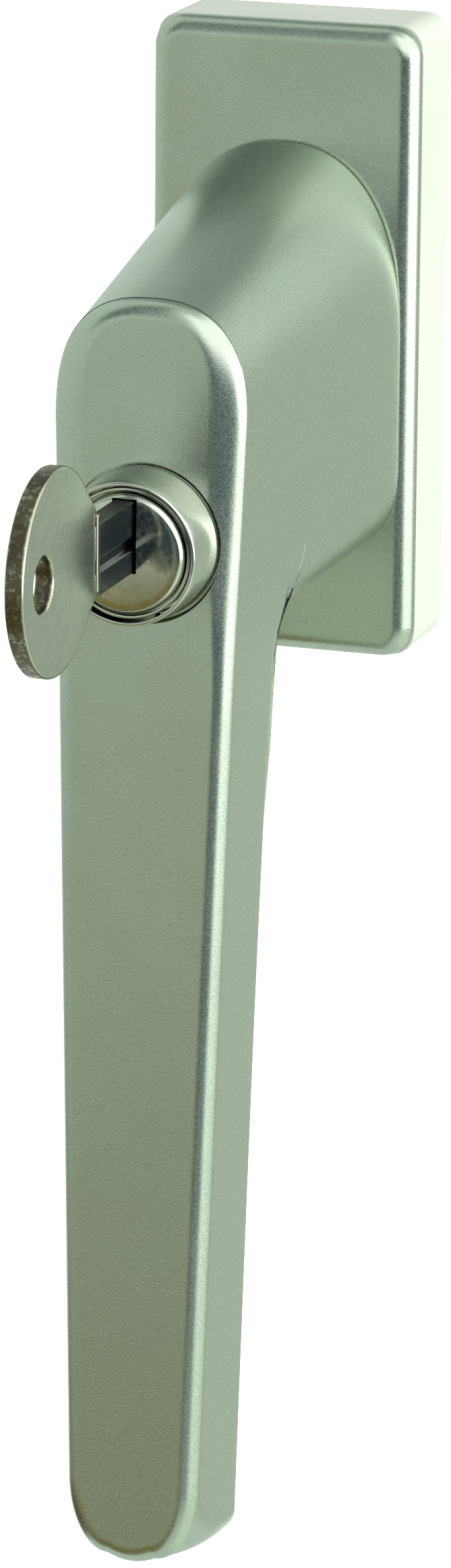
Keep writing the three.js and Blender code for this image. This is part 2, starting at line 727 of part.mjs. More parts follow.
function lockBezel() {
  const foot = BEZEL_SEAT + GAP;
  const profile = [
    [HOUSING_RADIUS + 0.2, foot],
    [BEZEL_BASE_RADIUS, foot],
    [BEZEL_BASE_RADIUS, foot + 1.1],
    [BEZEL_RIM_RADIUS + 0.1, BEZEL_FRONT - 0.9],
    [BEZEL_RIM_RADIUS, BEZEL_FRONT - 0.15],
    [BEZEL_RIM_RADIUS - 0.1, BEZEL_FRONT],
    [BEZEL_BORE, BEZEL_FRONT],
    [BEZEL_BORE, HOUSING_NOSE - 2.4],
    [HOUSING_RADIUS + 0.2, HOUSING_NOSE - 2.6],
    [HOUSING_RADIUS + 0.2, foot],
  ];
  return turned(profile, { z: LOCK_Z });
}

function cylinderHousing() {
  const shoulder = HOUSING_NOSE - 3;
  const body = rod(HOUSING_RADIUS, HOUSING_BACK, shoulder, { z: LOCK_Z, sides: 28 });
  const nose = rod(HOUSING_NOSE_RADIUS, shoulder - 1, HOUSING_NOSE, { z: LOCK_Z, sides: 28 });
  const channelEnd = WAFER_FIRST - WAFER_COUNT * WAFER_PITCH;
  return cut(body.add(nose), [
    rod(PLUG_RADIUS + 0.15, HOUSING_BACK - 1, HOUSING_NOSE + 1, { z: LOCK_Z, sides: 28 }),
    rod(PLUG_FACE_RADIUS + 0.15, PLUG_FACE - 2.2, HOUSING_NOSE + 1, { z: LOCK_Z, sides: 28 }),
    block(2.5, channelEnd, WAFER_FIRST + 0.9, LOCK_Z - 6.6, LOCK_Z + 6.6),
  ]);
}

function waferDepths() {
  return Array.from({ length: WAFER_COUNT }, (_, i) => WAFER_FIRST - i * WAFER_PITCH);
}

function lockPlug() {
  const profile = [
    [0, PLUG_BACK],
    [PLUG_RADIUS, PLUG_BACK],
    [PLUG_RADIUS, PLUG_BACK + 0.5],
    [PLUG_RADIUS - 0.7, PLUG_BACK + 0.5],
    [PLUG_RADIUS - 0.7, PLUG_BACK + 1.6],
    [PLUG_RADIUS, PLUG_BACK + 1.6],
    [PLUG_RADIUS, PLUG_FACE - 1.9],
    [PLUG_FACE_RADIUS, PLUG_FACE - 1.9],
    [PLUG_FACE_RADIUS, PLUG_FACE - 0.4],
    [PLUG_FACE_RADIUS - 0.4, PLUG_FACE],
    [0, PLUG_FACE],
  ];
  const tang = block(1.1, CAM_FRONT - 0.7, PLUG_BACK + 1, LOCK_Z - 3, LOCK_Z + 3);
  const keywayLow = BLADE_LOW - 0.15;
  const flange = PLUG_FACE - 2.2;
  const tools = [
    block(KEYWAY_HALF_WIDTH, BLADE_TIP - 0.4, flange, keywayLow, LOCK_Z + PLUG_RADIUS + 1),
    block(KEYWAY_HALF_WIDTH, flange - 1, PLUG_FACE + 1, keywayLow, BLADE_HIGH + 0.15),
  ];
  const half = WAFER_THICKNESS / 2 + RUNNING_GAP;
  for (const depth of waferDepths()) {
    tools.push(block(2.4, depth - half, depth + half, LOCK_Z - 7, LOCK_Z + 7));
    tools.push(block(0.8, depth - half, depth + half, LOCK_Z - 4, LOCK_Z - 1.5, 3));
  }
  return cut(turned(profile, { z: LOCK_Z }).add(tang), tools);
}

// A wafer is a fork: the key's cut rests in it, and its lug is for a spring.
function wafer(depth) {
  const half = WAFER_THICKNESS / 2;
  const plateBody = block(2.1, depth - half, depth + half, LOCK_Z - 5.5, LOCK_Z + 4.4);
  const lug = block(0.5, depth - half, depth + half, LOCK_Z - 3.6, LOCK_Z - 3, 2.5);
  const fork = block(KEYWAY_HALF_WIDTH + 0.1, depth - 1, depth + 1, BLADE_LOW - 0.1, BLADE_HIGH);
  return plateBody.add(lug).subtract(fork);
}

function driveCam() {
  const cup = rod(CAM_RADIUS, CAM_BACK, CAM_FRONT, { z: LOCK_Z, sides: 28 });
  const tools = [
    rod(CAM_BORE, CAM_BACK - 1, FOLLOWER_DEPTH + GAP, { z: LOCK_Z, sides: 32 }),
    block(1.3, FOLLOWER_DEPTH, CAM_FRONT + 1, LOCK_Z - 3.2, LOCK_Z + 3.2),
  ];
  const steps = 12;
  for (let step = 0; step <= steps; step += 1) {
    const share = step / steps;
    const groove = new THREE.CylinderGeometry(LUG_RADIUS + GAP, LUG_RADIUS + GAP, 5, 12);
    groove.translate(0, -5.5, 0);
    groove.rotateX(Math.PI / 2);
    groove.rotateY((-share * Math.PI) / 2);
    const depth = FOLLOWER_DEPTH - FOLLOWER_THICKNESS / 2 - share * BOLT_TRAVEL;
    groove.translate(0, -depth, LOCK_Z);
    tools.push(solid(groove));
  }
  return cut(cup, tools);
}

function plugClip() {
  const back = PLUG_BACK + 0.65;
  return ring(PLUG_RADIUS + 0.75, PLUG_RADIUS - 0.55, back, back + 0.8, { z: LOCK_Z, open: 3 });
}

function housingScrew() {
  const screw = crossRod(HOUSING_SCREW_RADIUS, -9.3, -7.5, HOUSING_SCREW_DEPTH, LOCK_Z, 20);
  const socket = crossRod(HOUSING_SCREW_RADIUS / 2, -12, -8.4, HOUSING_SCREW_DEPTH, LOCK_Z, 6);
  return screw.subtract(socket);
}

// The bolt: a follower in the cam, with a lug in its groove, and a rod that is
// off the lock's axis, so that the bolt slides and can't turn.
function lockBolt() {
  const back = FOLLOWER_DEPTH - FOLLOWER_THICKNESS;
  const follower = rod(CAM_BORE - RUNNING_GAP, back, FOLLOWER_DEPTH, { z: LOCK_Z, sides: 32 });
  const lug = new THREE.CylinderGeometry(LUG_RADIUS, LUG_RADIUS, 2, 12);
  lug.rotateX(Math.PI / 2);
  lug.translate(0, -(back + FOLLOWER_DEPTH) / 2, LOCK_Z - 4.5);
  const nose = DISC_BACK + DISC_THICKNESS + GAP + 0.1;
  return join([
    follower,
    solid(lug),
    rod(BOLT_RADIUS, nose, back + 0.5, { z: BOLT_Z, sides: 24 }),
  ]);
}

function boltSpring() {
  const front = FOLLOWER_DEPTH - FOLLOWER_THICKNESS - 0.1;
  return coilSpring(1.97, 0.24, 6, BOLT_SPRING_SEAT + 0.1, front, 0, BOLT_Z);
}

// ---------------------------------------------------------------------- key

// The bow's outline in depth and height: a disc that runs into the shoulder.
function bowShape() {
  const shape = new THREE.Shape();
  const reach = (z) => Math.atan2(z - BOW_Z, KEY_SHOULDER - BOW_Y);
  const distance = Math.hypot(KEY_SHOULDER - BOW_Y, KEY_SHOULDER_HIGH - BOW_Z);
  const lowDistance = Math.hypot(KEY_SHOULDER - BOW_Y, KEY_SHOULDER_LOW - BOW_Z);
  const from = reach(KEY_SHOULDER_HIGH) - Math.acos(BOW_RADIUS / distance);
  const to = reach(KEY_SHOULDER_LOW) + Math.acos(BOW_RADIUS / lowDistance);
  shape.moveTo(KEY_SHOULDER, KEY_SHOULDER_LOW);
  shape.lineTo(KEY_SHOULDER, KEY_SHOULDER_HIGH);
  shape.absarc(BOW_Y, BOW_Z, BOW_RADIUS, from, to, true);
  shape.closePath();
  return shape;
}

// The blade's outline, with cuts for the wafers in its lower edge.
function bladeShape() {
  const shape = new THREE.Shape();
  shape.moveTo(KEY_SHOULDER + 1, BLADE_LOW);
  shape.lineTo(KEY_SHOULDER + 1, BLADE_HIGH);
  shape.lineTo(BLADE_TIP + 1.8, BLADE_HIGH);
  shape.lineTo(BLADE_TIP, BLADE_HIGH - 2.6);
  shape.lineTo(BLADE_TIP, BLADE_LOW + 1.6);
  shape.lineTo(BLADE_TIP + 1.2, BLADE_LOW);
  waferDepths().reverse().forEach((depth, i) => {
    const cutDepth = 0.6 + 0.5 * (i % 3);
    shape.lineTo(depth - 1.2, BLADE_LOW);
    shape.lineTo(depth - 0.5, BLADE_LOW + cutDepth);
    shape.lineTo(depth + 0.5, BLADE_LOW + cutDepth);
    shape.lineTo(depth + 1.2, BLADE_LOW);
  });
  shape.closePath();
  return shape;
}

// Stands a shape drawn in depth and height on the plane X = 0.
function uprightPlate(shape, halfThickness, edge = 0) {
  const geometry = new THREE.ExtrudeGeometry(shape, {
    depth: 2 * (halfThickness - edge),
    bevelEnabled: edge > 0,
    bevelSize: edge,
    bevelThickness: edge,
    bevelOffset: -edge,
    bevelSegments: 1,
    curveSegments: 16,
  });
  geometry.translate(0, 0, -(halfThickness - edge));
  const depthToY = new THREE.Matrix4().set(0, 0, 1, 0, -1, 0, 0, 0, 0, 1, 0, 0, 0, 0, 0, 1);
  geometry.applyMatrix4(depthToY);
  return solid(geometry);
}

function key() {
  const hole = crossRod(RING_HOLE_RADIUS, -5, 5, RING_HOLE_Y, RING_HOLE_Z, 28);
  const grooves = [-1, 1].map((side) => {
    const middle = mix(BLADE_LOW, BLADE_HIGH, side > 0 ? 0.42 : 0.68);
    const x = side * BLADE_HALF_THICKNESS;
    return block(0.45, 30, KEY_SHOULDER - 0.6, middle - 0.6, middle + 0.6, x);
  });
  const blade = cut(uprightPlate(bladeShape(), BLADE_HALF_THICKNESS), grooves);
  const bow = uprightPlate(bowShape(), BOW_HALF_THICKNESS, BOW_EDGE);
  return cut(join([blade, bow]), [hole]);
}

// ----------------------------------------------------------------- assembly

const material = {
  aluminium: { color: 0x9ba494, metalness: 0.9, roughness: 0.38 },
  plastic: { color: 0xe6e9dc, metalness: 0, roughness: 0.5 },
  nickel: { color: 0xb6bcae, metalness: 1, roughness: 0.16 },
  steel: { color: 0xa9abae, metalness: 1, roughness: 0.35 },
  brass: { color: 0xc4a765, metalness: 1, roughness: 0.35 },
  acetal: { color: 0xd8d8d2, metalness: 0, roughness: 0.6 },
  springSteel: { color: 0x8f9296, metalness: 1, roughness: 0.3 },
};

function piece(name, body, finish) {
  const mesh = new THREE.Mesh(surface(body), new THREE.MeshStandardMaterial(finish));
  mesh.name = name;
  return mesh;
}

const handle = new THREE.Group();
handle.name = "tilt_turn_handle";

// Fixed to the sash.
handle.add(
  piece("mounting_base", mountingBase(), material.plastic),
  piece("index_disc", indexDisc(), material.steel),
  piece("bearing_bush", bearingBush(), material.acetal),
  piece("fixing_screw_upper", fixingScrew(SCREW_SPACING / 2), material.steel),
  piece("fixing_screw_lower", fixingScrew(-SCREW_SPACING / 2), material.steel),
);

// Turns aside to show the screws.
handle.add(piece("rosette_cover", rosetteCover(), material.aluminium));

// Turns with the lever.
handle.add(
  piece("lever_handle", leverHandle(), material.aluminium),
  piece("spindle", spindle(), material.steel),
  piece("spindle_pin", spindlePin(), material.steel),
  piece("retaining_ring", retainingRing(), material.springSteel),
  piece("thrust_washer", thrustWasher(), material.acetal),
  piece("lock_bezel", lockBezel(), material.nickel),
  piece("cylinder_housing", cylinderHousing(), material.brass),
  piece("housing_screw", housingScrew(), material.steel),
  piece("bolt_spring", boltSpring(), material.springSteel),
);
detentPlaces().forEach((place, i) => {
  const side = i === 0 ? "upper" : "lower";
  handle.add(piece(`detent_ball_${side}`, detentBall(place), material.steel));
  handle.add(piece(`detent_spring_${side}`, detentSpring(place), material.springSteel));
});

// Turns with the key.
handle.add(
  piece("lock_plug", lockPlug(), material.nickel),
  piece("plug_clip", plugClip(), material.springSteel),
  piece("drive_cam", driveCam(), material.steel),
);
waferDepths().forEach((depth, i) => {
  handle.add(piece(`wafer_${i + 1}`, wafer(depth), material.brass));
});

handle.add(piece("lock_bolt", lockBolt(), material.steel));
handle.add(piece("key", key(), material.nickel));

export default handle;
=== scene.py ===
"""Looks of a lockable tilt and turn window handle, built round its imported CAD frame."""

from math import acos, atan2, cos, exp, hypot, pi, radians, sin, sqrt

import bmesh
import bpy
from mathutils import Matrix, Vector


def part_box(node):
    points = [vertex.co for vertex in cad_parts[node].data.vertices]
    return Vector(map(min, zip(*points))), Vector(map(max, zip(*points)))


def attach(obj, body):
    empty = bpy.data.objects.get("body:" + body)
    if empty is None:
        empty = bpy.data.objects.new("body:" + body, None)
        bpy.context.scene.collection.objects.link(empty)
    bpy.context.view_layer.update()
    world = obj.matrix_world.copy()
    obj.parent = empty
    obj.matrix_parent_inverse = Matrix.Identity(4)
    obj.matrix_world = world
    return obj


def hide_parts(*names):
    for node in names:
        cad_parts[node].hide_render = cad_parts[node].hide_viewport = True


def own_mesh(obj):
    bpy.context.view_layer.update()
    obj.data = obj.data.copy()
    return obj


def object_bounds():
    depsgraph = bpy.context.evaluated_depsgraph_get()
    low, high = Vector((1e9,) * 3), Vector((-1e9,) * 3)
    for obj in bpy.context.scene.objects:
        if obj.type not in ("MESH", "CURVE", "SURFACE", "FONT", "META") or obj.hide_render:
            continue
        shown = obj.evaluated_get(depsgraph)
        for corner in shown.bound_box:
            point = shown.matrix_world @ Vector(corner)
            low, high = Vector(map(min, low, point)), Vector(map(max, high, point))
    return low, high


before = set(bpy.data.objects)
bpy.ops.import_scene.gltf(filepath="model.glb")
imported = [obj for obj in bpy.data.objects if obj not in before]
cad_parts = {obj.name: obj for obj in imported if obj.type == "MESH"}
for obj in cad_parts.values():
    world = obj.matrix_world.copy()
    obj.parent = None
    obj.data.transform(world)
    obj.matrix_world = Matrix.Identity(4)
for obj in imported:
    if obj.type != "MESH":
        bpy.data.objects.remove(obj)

CAD_LOW, CAD_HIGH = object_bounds()
MM = 0.001

# ---- dimensions
# In millimetres, in the frame of the CAD: depths are towards the room, so they
# are minus Y. What a CAD node's box says is read from it.


def box_mm(node):
    """Lowest and highest corner of a CAD node, in millimetres."""
    low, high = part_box(node)
    return low / MM, high / MM


BASE_LOW, BASE_HIGH = box_mm("mounting_base")
COVER_LOW, COVER_HIGH = box_mm("rosette_cover")
LEVER_LOW, LEVER_HIGH = box_mm("lever_handle")
SPINDLE_LOW, SPINDLE_HIGH = box_mm("spindle")
PLUG_LOW, PLUG_HIGH = box_mm("lock_plug")
BEZEL_LOW, BEZEL_HIGH = box_mm("lock_bezel")
KEY_LOW, KEY_HIGH = box_mm("key")

GAP = 0.3  # between pieces that rest on each other
RUNNING_GAP = 0.2  # round a piece that turns or slides
BORE_GAP = 0.15  # all round a rod in its bore
CUT = 1.0  # how far a tool reaches past the face that it cuts

ROSETTE_HALF_WIDTH = COVER_HIGH.x
ROSETTE_HALF_HEIGHT = COVER_HIGH.z
ROSETTE_CORNER = 3.5
BASE_CORNER = 2.6
BASE_DEPTH = -BASE_LOW.y
BASE_EDGE = 0.5
BASE_FLOOR = 1.6
BACK_POCKET_X = 5.5
BACK_POCKET_HALF_WIDTH = 4
BACK_POCKET_FAR = 6.5  # from the rosette's ends
BACK_POCKET_NEAR = 2
BACK_POCKET_DEPTH = BASE_DEPTH - 2
COVER_FRONT = -COVER_LOW.y
COVER_BACK = -COVER_HIGH.y
COVER_EDGE = 1.9
COVER_EDGE_STEPS = 12
COVER_WALL = 1.0

SCREW_SPACING = 43.0
SCREW_RADIUS = 2.4
SCREW_HEAD_RADIUS = 4.8
SCREW_LENGTH = 45.0
SCREW_SIDES = 28
THREAD_PITCH = 0.8
THREAD_DEPTH = 0.38
THREAD_FLANK = 2.6  # how steep the thread's flanks are
THREAD_STEPS = 7  # rings in one pitch
THREAD_RUN_IN = 1.2
THREAD_RUN_OUT = 0.8
THREAD_FAINTEST = 0.35  # share of the thread's depth at its ends
RECESS_DEPTH = 2.3
RECESS_HALF_LENGTHS = (2.35, 0.8)  # at the screw's head and at the bottom
RECESS_HALF_WIDTHS = (0.55, 0.35)
SPIGOT_RADIUS = 5.0
SINK_SIDES = 89  # an odd count keeps the cut's corners off those of the spigot

JOURNAL_RADIUS = 11.7
POCKET_RADIUS = 13.0
LEDGE_RADIUS = 11.2
STUB_RADIUS = 6.2
STUB_BACK = 0.6
RING_GROOVE = (1.8, 2.9)  # depths of the retaining ring's groove
RING_GROOVE_DEPTH = 0.6
DISC_BACK = 3.8
DISC_THICKNESS = 1.8
TAB_HALF_WIDTH = 1.8
TAB_END = 14.1
JOURNAL_BACK = DISC_BACK + DISC_THICKNESS + GAP

FOOT = COVER_FRONT + GAP
NECK_END = 38.0
NECK_HALF_WIDTH = LEVER_HIGH.x
NECK_TOP = LEVER_HIGH.z
NECK_STRAIGHT = 11.0
NECK_UNDERSIDE = 22.0
NECK_UNDERSIDE_X = 8.0
NECK_FILLET = 4.2
NECK_UNDERSIDE_FALL = 1.3
NECK_ROUNDNESS = 3.2  # power of the superellipse under the neck
NECK_RIM = 0.45
ARCH_FOOT_ROUNDNESS = 2.35  # powers of the superellipse over the axis
ARCH_HEAD_ROUNDNESS = 2.5

LEVER_HALF_WIDTH = 10.2
LEVER_TOP = 12.6
LEVER_SHOULDER_Z = -20.0
LEVER_SHOULDER_HALF_WIDTH = 9.55
LEVER_TIP_HALF_WIDTH = 6.95
LEVER_TIP_LEAN = 1.0
LEVER_TIP_Z = LEVER_LOW.z + LEVER_TIP_LEAN
LEVER_TIP_SAG = 0.6
LEVER_FRONT = 58.53
LEVER_FRONT_Z = -60.0
LEVER_FRONT_SLOPE = 0.033
LEVER_FRONT_EDGE = 1.9
LEVER_BACK_EDGE = 1.0
LEVER_BACK_FALL = 2.0
LEVER_BACK_RUN = 22.0
LEVER_BACK_SLOPE = 0.011
LEVER_BACK_START_Z = -28.0
LEVER_BACK_START = NECK_END + 3  # depth where the lever's back edge begins, at the top
TIP_CORNER_ACROSS = (2.0, 4.6)  # at the lever's back and at its front
TIP_CORNER_UP = (2.2, 8.5)
TIP_CORNER_SHRINK = 0.8
FLARE_START_Z = -14
FLARE_END_Z = -28
HEAD_CROWN = 3.0  # how much further in the head's front edge starts to round
CROWN_START_Z = -6
CROWN_END_Z = -30

SOCKET_END = 30.3
SPINDLE_CHAMFER = 0.55
SPINDLE_TIP = 0.6
SPINDLE_TIP_SHARE = 0.86
PIN_RADIUS = 1.5
PIN_DEPTH = 22
PIN_EDGE = 0.2
PIN_SIDES = 48
HOUSING_SCREW_DEPTH = 50
HOUSING_SCREW_SOCKET = 0.75

LOCK_Z = (BEZEL_LOW.z + BEZEL_HIGH.z) / 2
BEZEL_FRONT = -BEZEL_LOW.y
BEZEL_SEAT = -BEZEL_HIGH.y - GAP
BEZEL_BASE_RADIUS = BEZEL_HIGH.x
BEZEL_RIM_RADIUS = 7.4
BEZEL_BORE = 7.0
HOUSING_RADIUS = 7.2
HOUSING_NOSE_RADIUS = 6.75
HOUSING_NOSE = 62.3
HOUSING_BACK = 44.7
HOUSING_NOSE_LENGTH = 3
LOCK_BORE_BACK = 34.3
WAFER_CHANNEL_HALF_WIDTH = 2.5
WAFER_CHANNEL_HALF_HEIGHT = 6.6
PLUG_FACE = -PLUG_LOW.y
PLUG_FACE_RADIUS = PLUG_HIGH.x
PLUG_RADIUS = 6.0
PLUG_BACK = 42.9
PLUG_TANG_BACK = 41.9
PLUG_DOME = 0.18
PLUG_DOME_RADIUS = 5.7
CLIP_GROOVE = (0.5, 1.6)  # from the plug's back
CLIP_GROOVE_DEPTH = 0.7
FLANGE = 2.2  # from the plug's face to the seat of its flange
KEYWAY_HALF_WIDTH = 1.3

BLADE_HALF_THICKNESS = 1.05
BLADE_LOW = LOCK_Z - 1.7
BLADE_HIGH = LOCK_Z + 5.6
BLADE_TIP = -KEY_HIGH.y
KEY_SHOULDER = 73.7
KEY_SHOULDER_LOW = -13.5
KEY_SHOULDER_HIGH = -4.95
BOW_RADIUS = 10.4
BOW_Y = -KEY_LOW.y - BOW_RADIUS
BOW_Z = -8.7
BOW_HALF_THICKNESS = 1.0
RING_HOLE_RADIUS = 2.75
RING_HOLE_Y = 89.4
RING_HOLE_Z = -8.9
BLADE_GROOVE_DEPTH = 0.45
BLADE_GROOVE_HALF_WIDTHS = (0.45, 0.75)  # at the groove's bottom and at its mouth
BLADE_GROOVE_RIGHT = 0.42  # shares of the blade's height
BLADE_GROOVE_LEFT = 0.68

BOLT_BORE = 1.8
CAM_BACK = 34.6
SPRING_SEAT = 23
SPRING_POCKET = 2.45
SPRING_WIRE = 0.24  # radius
SPRING_TURNS = 6
SPRING_STEPS = 24  # rings in one turn
BALL_BORE_END = 15.2
WAFER_DEPTHS = [59.6 - 3 * i for i in range(5)]
WAFER_HALF_SLOT = 0.45 + RUNNING_GAP

# ---- mesh helpers

MERGED = 1e-7  # metres; points that are this close are one point
NEAR_AXIS = 1e-4
CORNER_SHARE = 0.48  # of the shorter side, which a rounded corner takes at most
FLAT_FACE_WEIGHT = 80


def mix(a, b, share):
    """The number at a share of the way from a to b."""
    return a + (b - a) * share


def spread(first, last, count):
    """Evenly spaced numbers with both ends."""
    return [mix(first, last, i / (count - 1)) for i in range(count)]


def shares(count):
    """Evenly spaced shares up to 1, without 0."""
    return [i / count for i in range(1, count + 1)]


def within(value, start, end):
    """How far a value is from start to end, from 0 to 1."""
    return min(1, max(0, (value - start) / (end - start)))


def soft_step(value, start, end):
    """The same, with a soft start and end."""
    share = within(value, start, end)
    return share * share * (3 - 2 * share)


def new_object(name, points, faces):
    """A mesh object from points in millimetres, with its faces turned outwards."""
    mesh = bpy.data.meshes.new(name)
    mesh.from_pydata([Vector(p) * MM for p in points], [], faces)
    sheet = bmesh.new()
    sheet.from_mesh(mesh)
    bmesh.ops.remove_doubles(sheet, verts=sheet.verts, dist=MERGED)
    bmesh.ops.dissolve_degenerate(sheet, edges=sheet.edges, dist=MERGED)
    bmesh.ops.recalc_face_normals(sheet, faces=sheet.faces)
    sheet.to_mesh(mesh)
    sheet.free()
    obj = bpy.data.objects.new(name, mesh)
    bpy.context.scene.collection.objects.link(obj)
    return obj


def loft(name, rings, capped=True, looped=False):
    """Skins closed rings that have the same number of points."""
    count = len(rings[0])
    points = [p for ring in rings for p in ring]
    faces = []
    for r in range(len(rings) if looped else len(rings) - 1):
        here, there = r * count, (r + 1) % len(rings) * count
        for i in range(count):
            j = (i + 1) % count
            faces.append((here + i, here + j, there + j, there + i))
    if capped and not looped:
        faces.append(tuple(range(count)))
        last = (len(rings) - 1) * count
        faces.append(tuple(range(last, last + count)))
    return new_object(name, points, faces)


def softened(line, steps=4):
    """A line of (a, b, radius) corners as (a, b) points, each corner rounded by its radius."""
    points = []
    for i, (a, b, radius) in enumerate(line):
        corner = Vector((a, b))
        if radius <= 0 or i in (0, len(line) - 1):
            points.append(corner)
            continue
        before = Vector(line[i - 1][:2]) - corner
        after = Vector(line[i + 1][:2]) - corner
        reach = min(radius, before.length * CORNER_SHARE, after.length * CORNER_SHARE)
        start = corner + before.normalized() * reach
        end = corner + after.normalized() * reach
        for k in range(steps + 1):
            t = k / steps
            points.append(start * (1 - t) ** 2 + corner * 2 * t * (1 - t) + end * t * t)
    return [(p.x, p.y) for p in points]


def round_edge(turn, radius):
    """How far a round edge has gone in and how far it has yet to rise, as turn goes from 0 to 1."""
    angle = turn * pi / 2
    return radius * (1 - cos(angle)), radius * (1 - sin(angle))


def full_turn(count):
    """Evenly spaced angles of a full turn."""
    return [2 * pi * i / count for i in range(count)]


def turned(name, line, x=0.0, z=0.0, segments=96, looped=False):
    """A lathe piece round an axis along Y, from a line of (radius, depth, rounding)."""
    rings = []
    angles = full_turn(segments)
    for radius, depth in softened(line):
        rings.append([(x + radius * cos(a), -depth, z + radius * sin(a)) for a in angles])
    return loft(name, rings, capped=False, looped=looped)


def rod(radius, back, front, x=0.0, z=0.0, segments=64):
    """A plain round tool along Y, between two depths."""
    line = [(0, back, 0), (radius, back, 0), (radius, front, 0), (0, front, 0)]
    return turned("tool", line, x, z, segments)


def turned_across(name, line, depth, z, segments):
    """A lathe piece round an axis along X, from a line of (x, radius) points."""
    rings = []
    angles = full_turn(segments)
    for x, radius in line:
        rings.append([(x, -depth + radius * cos(a), z + radius * sin(a)) for a in angles])
    return loft(name, rings)


def cross_rod(radius, from_x, to_x, depth, z, segments=48):
    """A plain round tool along X."""
    line = [(from_x, NEAR_AXIS), (from_x, radius), (to_x, radius), (to_x, NEAR_AXIS)]
    return turned_across("tool", line, depth, z, segments)


def block(half_width, back, front, low, high, x=0.0):
    """A plain square tool round the plane at x."""
    left = x - half_width
    right = x + half_width
    corners = [(left, low), (right, low), (right, high), (left, high)]
    return loft("tool", [[(across, -depth, up) for across, up in corners] for depth in (back, front)])


def prism(outline, half_thickness, name="tool"):
    """An outline in depth and height, as thick as said on both sides of X = 0."""
    rings = [[(x, -depth, z) for depth, z in outline] for x in (-half_thickness, half_thickness)]
    return loft(name, rings)


def combine(obj, others, operation="DIFFERENCE"):
    """Cuts the others out of a piece, or joins them to it, and removes them."""
    for other in others:
        step = obj.modifiers.new("combine", "BOOLEAN")
        step.operation = operation
        step.solver = "EXACT"
        step.object = other
    apply_modifiers(obj)
    for other in others:
        bpy.data.objects.remove(other)
    return obj


def apply_modifiers(obj):
    """Makes the result of the modifiers the mesh of the piece."""
    bpy.context.view_layer.update()
    graph = bpy.context.evaluated_depsgraph_get()
    mesh = bpy.data.meshes.new_from_object(obj.evaluated_get(graph))
    obj.modifiers.clear()
    obj.data = mesh


def rounded(obj, width, segments=3, angle=40):
    """Rounds every edge that is sharper than the angle, in degrees."""
    step = obj.modifiers.new("edges", "BEVEL")
    step.width = width * MM
    step.segments = segments
    step.limit_method = "ANGLE"
    step.angle_limit = radians(angle)
    step.use_clamp_overlap = True
    apply_modifiers(obj)
    return obj


def shaded(obj, angle):
    """Smooth shading, with the edges over the angle kept sharp and large flat faces left flat."""
    obj.data.shade_smooth()
    obj.data.set_sharp_from_angle(angle=radians(angle))
    step = obj.modifiers.new("flat faces", "WEIGHTED_NORMAL")
    step.keep_sharp = True
    step.weight = FLAT_FACE_WEIGHT


def rounded_rectangle(half_width, half_height, radius, steps=14):
    """Points of a rounded rectangle, with the same count whatever its size."""
    points = []
    for quarter, (sx, sz) in enumerate(((1, 1), (-1, 1), (-1, -1), (1, -1))):
        cx, cz = sx * (half_width - radius), sz * (half_height - radius)
        for i in range(steps + 1):
            angle = pi / 2 * (quarter + i / steps)
            points.append((cx + radius * cos(angle), cz + radius * sin(angle)))
    return points


# ---- materials


class Graph:
    """A short way to write the nodes of a material or a world."""

    def __init__(self, owner):
        owner.use_nodes = True
        self.owner = owner
        self.nodes = owner.node_tree.nodes
        self.links = owner.node_tree.links

    def add(self, kind, values=None, **settings):
        node = self.nodes.new(kind)
        for key, value in settings.items():
            setattr(node, key, value)
        for key, value in (values or {}).items():
            self.put(node.inputs[key], value)
        return node

    def put(self, socket, value):
        """Links or sets a socket; a colour may leave out its alpha."""
        if isinstance(value, bpy.types.NodeSocket):
            self.links.new(value, socket)
        elif socket.type == "RGBA":
            socket.default_value = (*value[:3], 1)
        else:
            socket.default_value = value

    def ramp(self, factor, low, high, to_low=0.0, to_high=1.0, smooth=False):
        values = {"Value": factor, "From Min": low, "From Max": high, "To Min": to_low, "To Max": to_high}
        kind = "SMOOTHSTEP" if smooth else "LINEAR"
        return self.add("ShaderNodeMapRange", values, interpolation_type=kind).outputs["Result"]

    def math(self, operation, a, b=0.0):
        return self.add("ShaderNodeMath", {0: a, 1: b}, operation=operation).outputs[0]

    def blend(self, factor, a, b):
        node = self.add("ShaderNodeMix", data_type="RGBA")
        self.put(node.inputs[0], factor)
        self.put(node.inputs[6], a)
        self.put(node.inputs[7], b)
        return node.outputs[2]


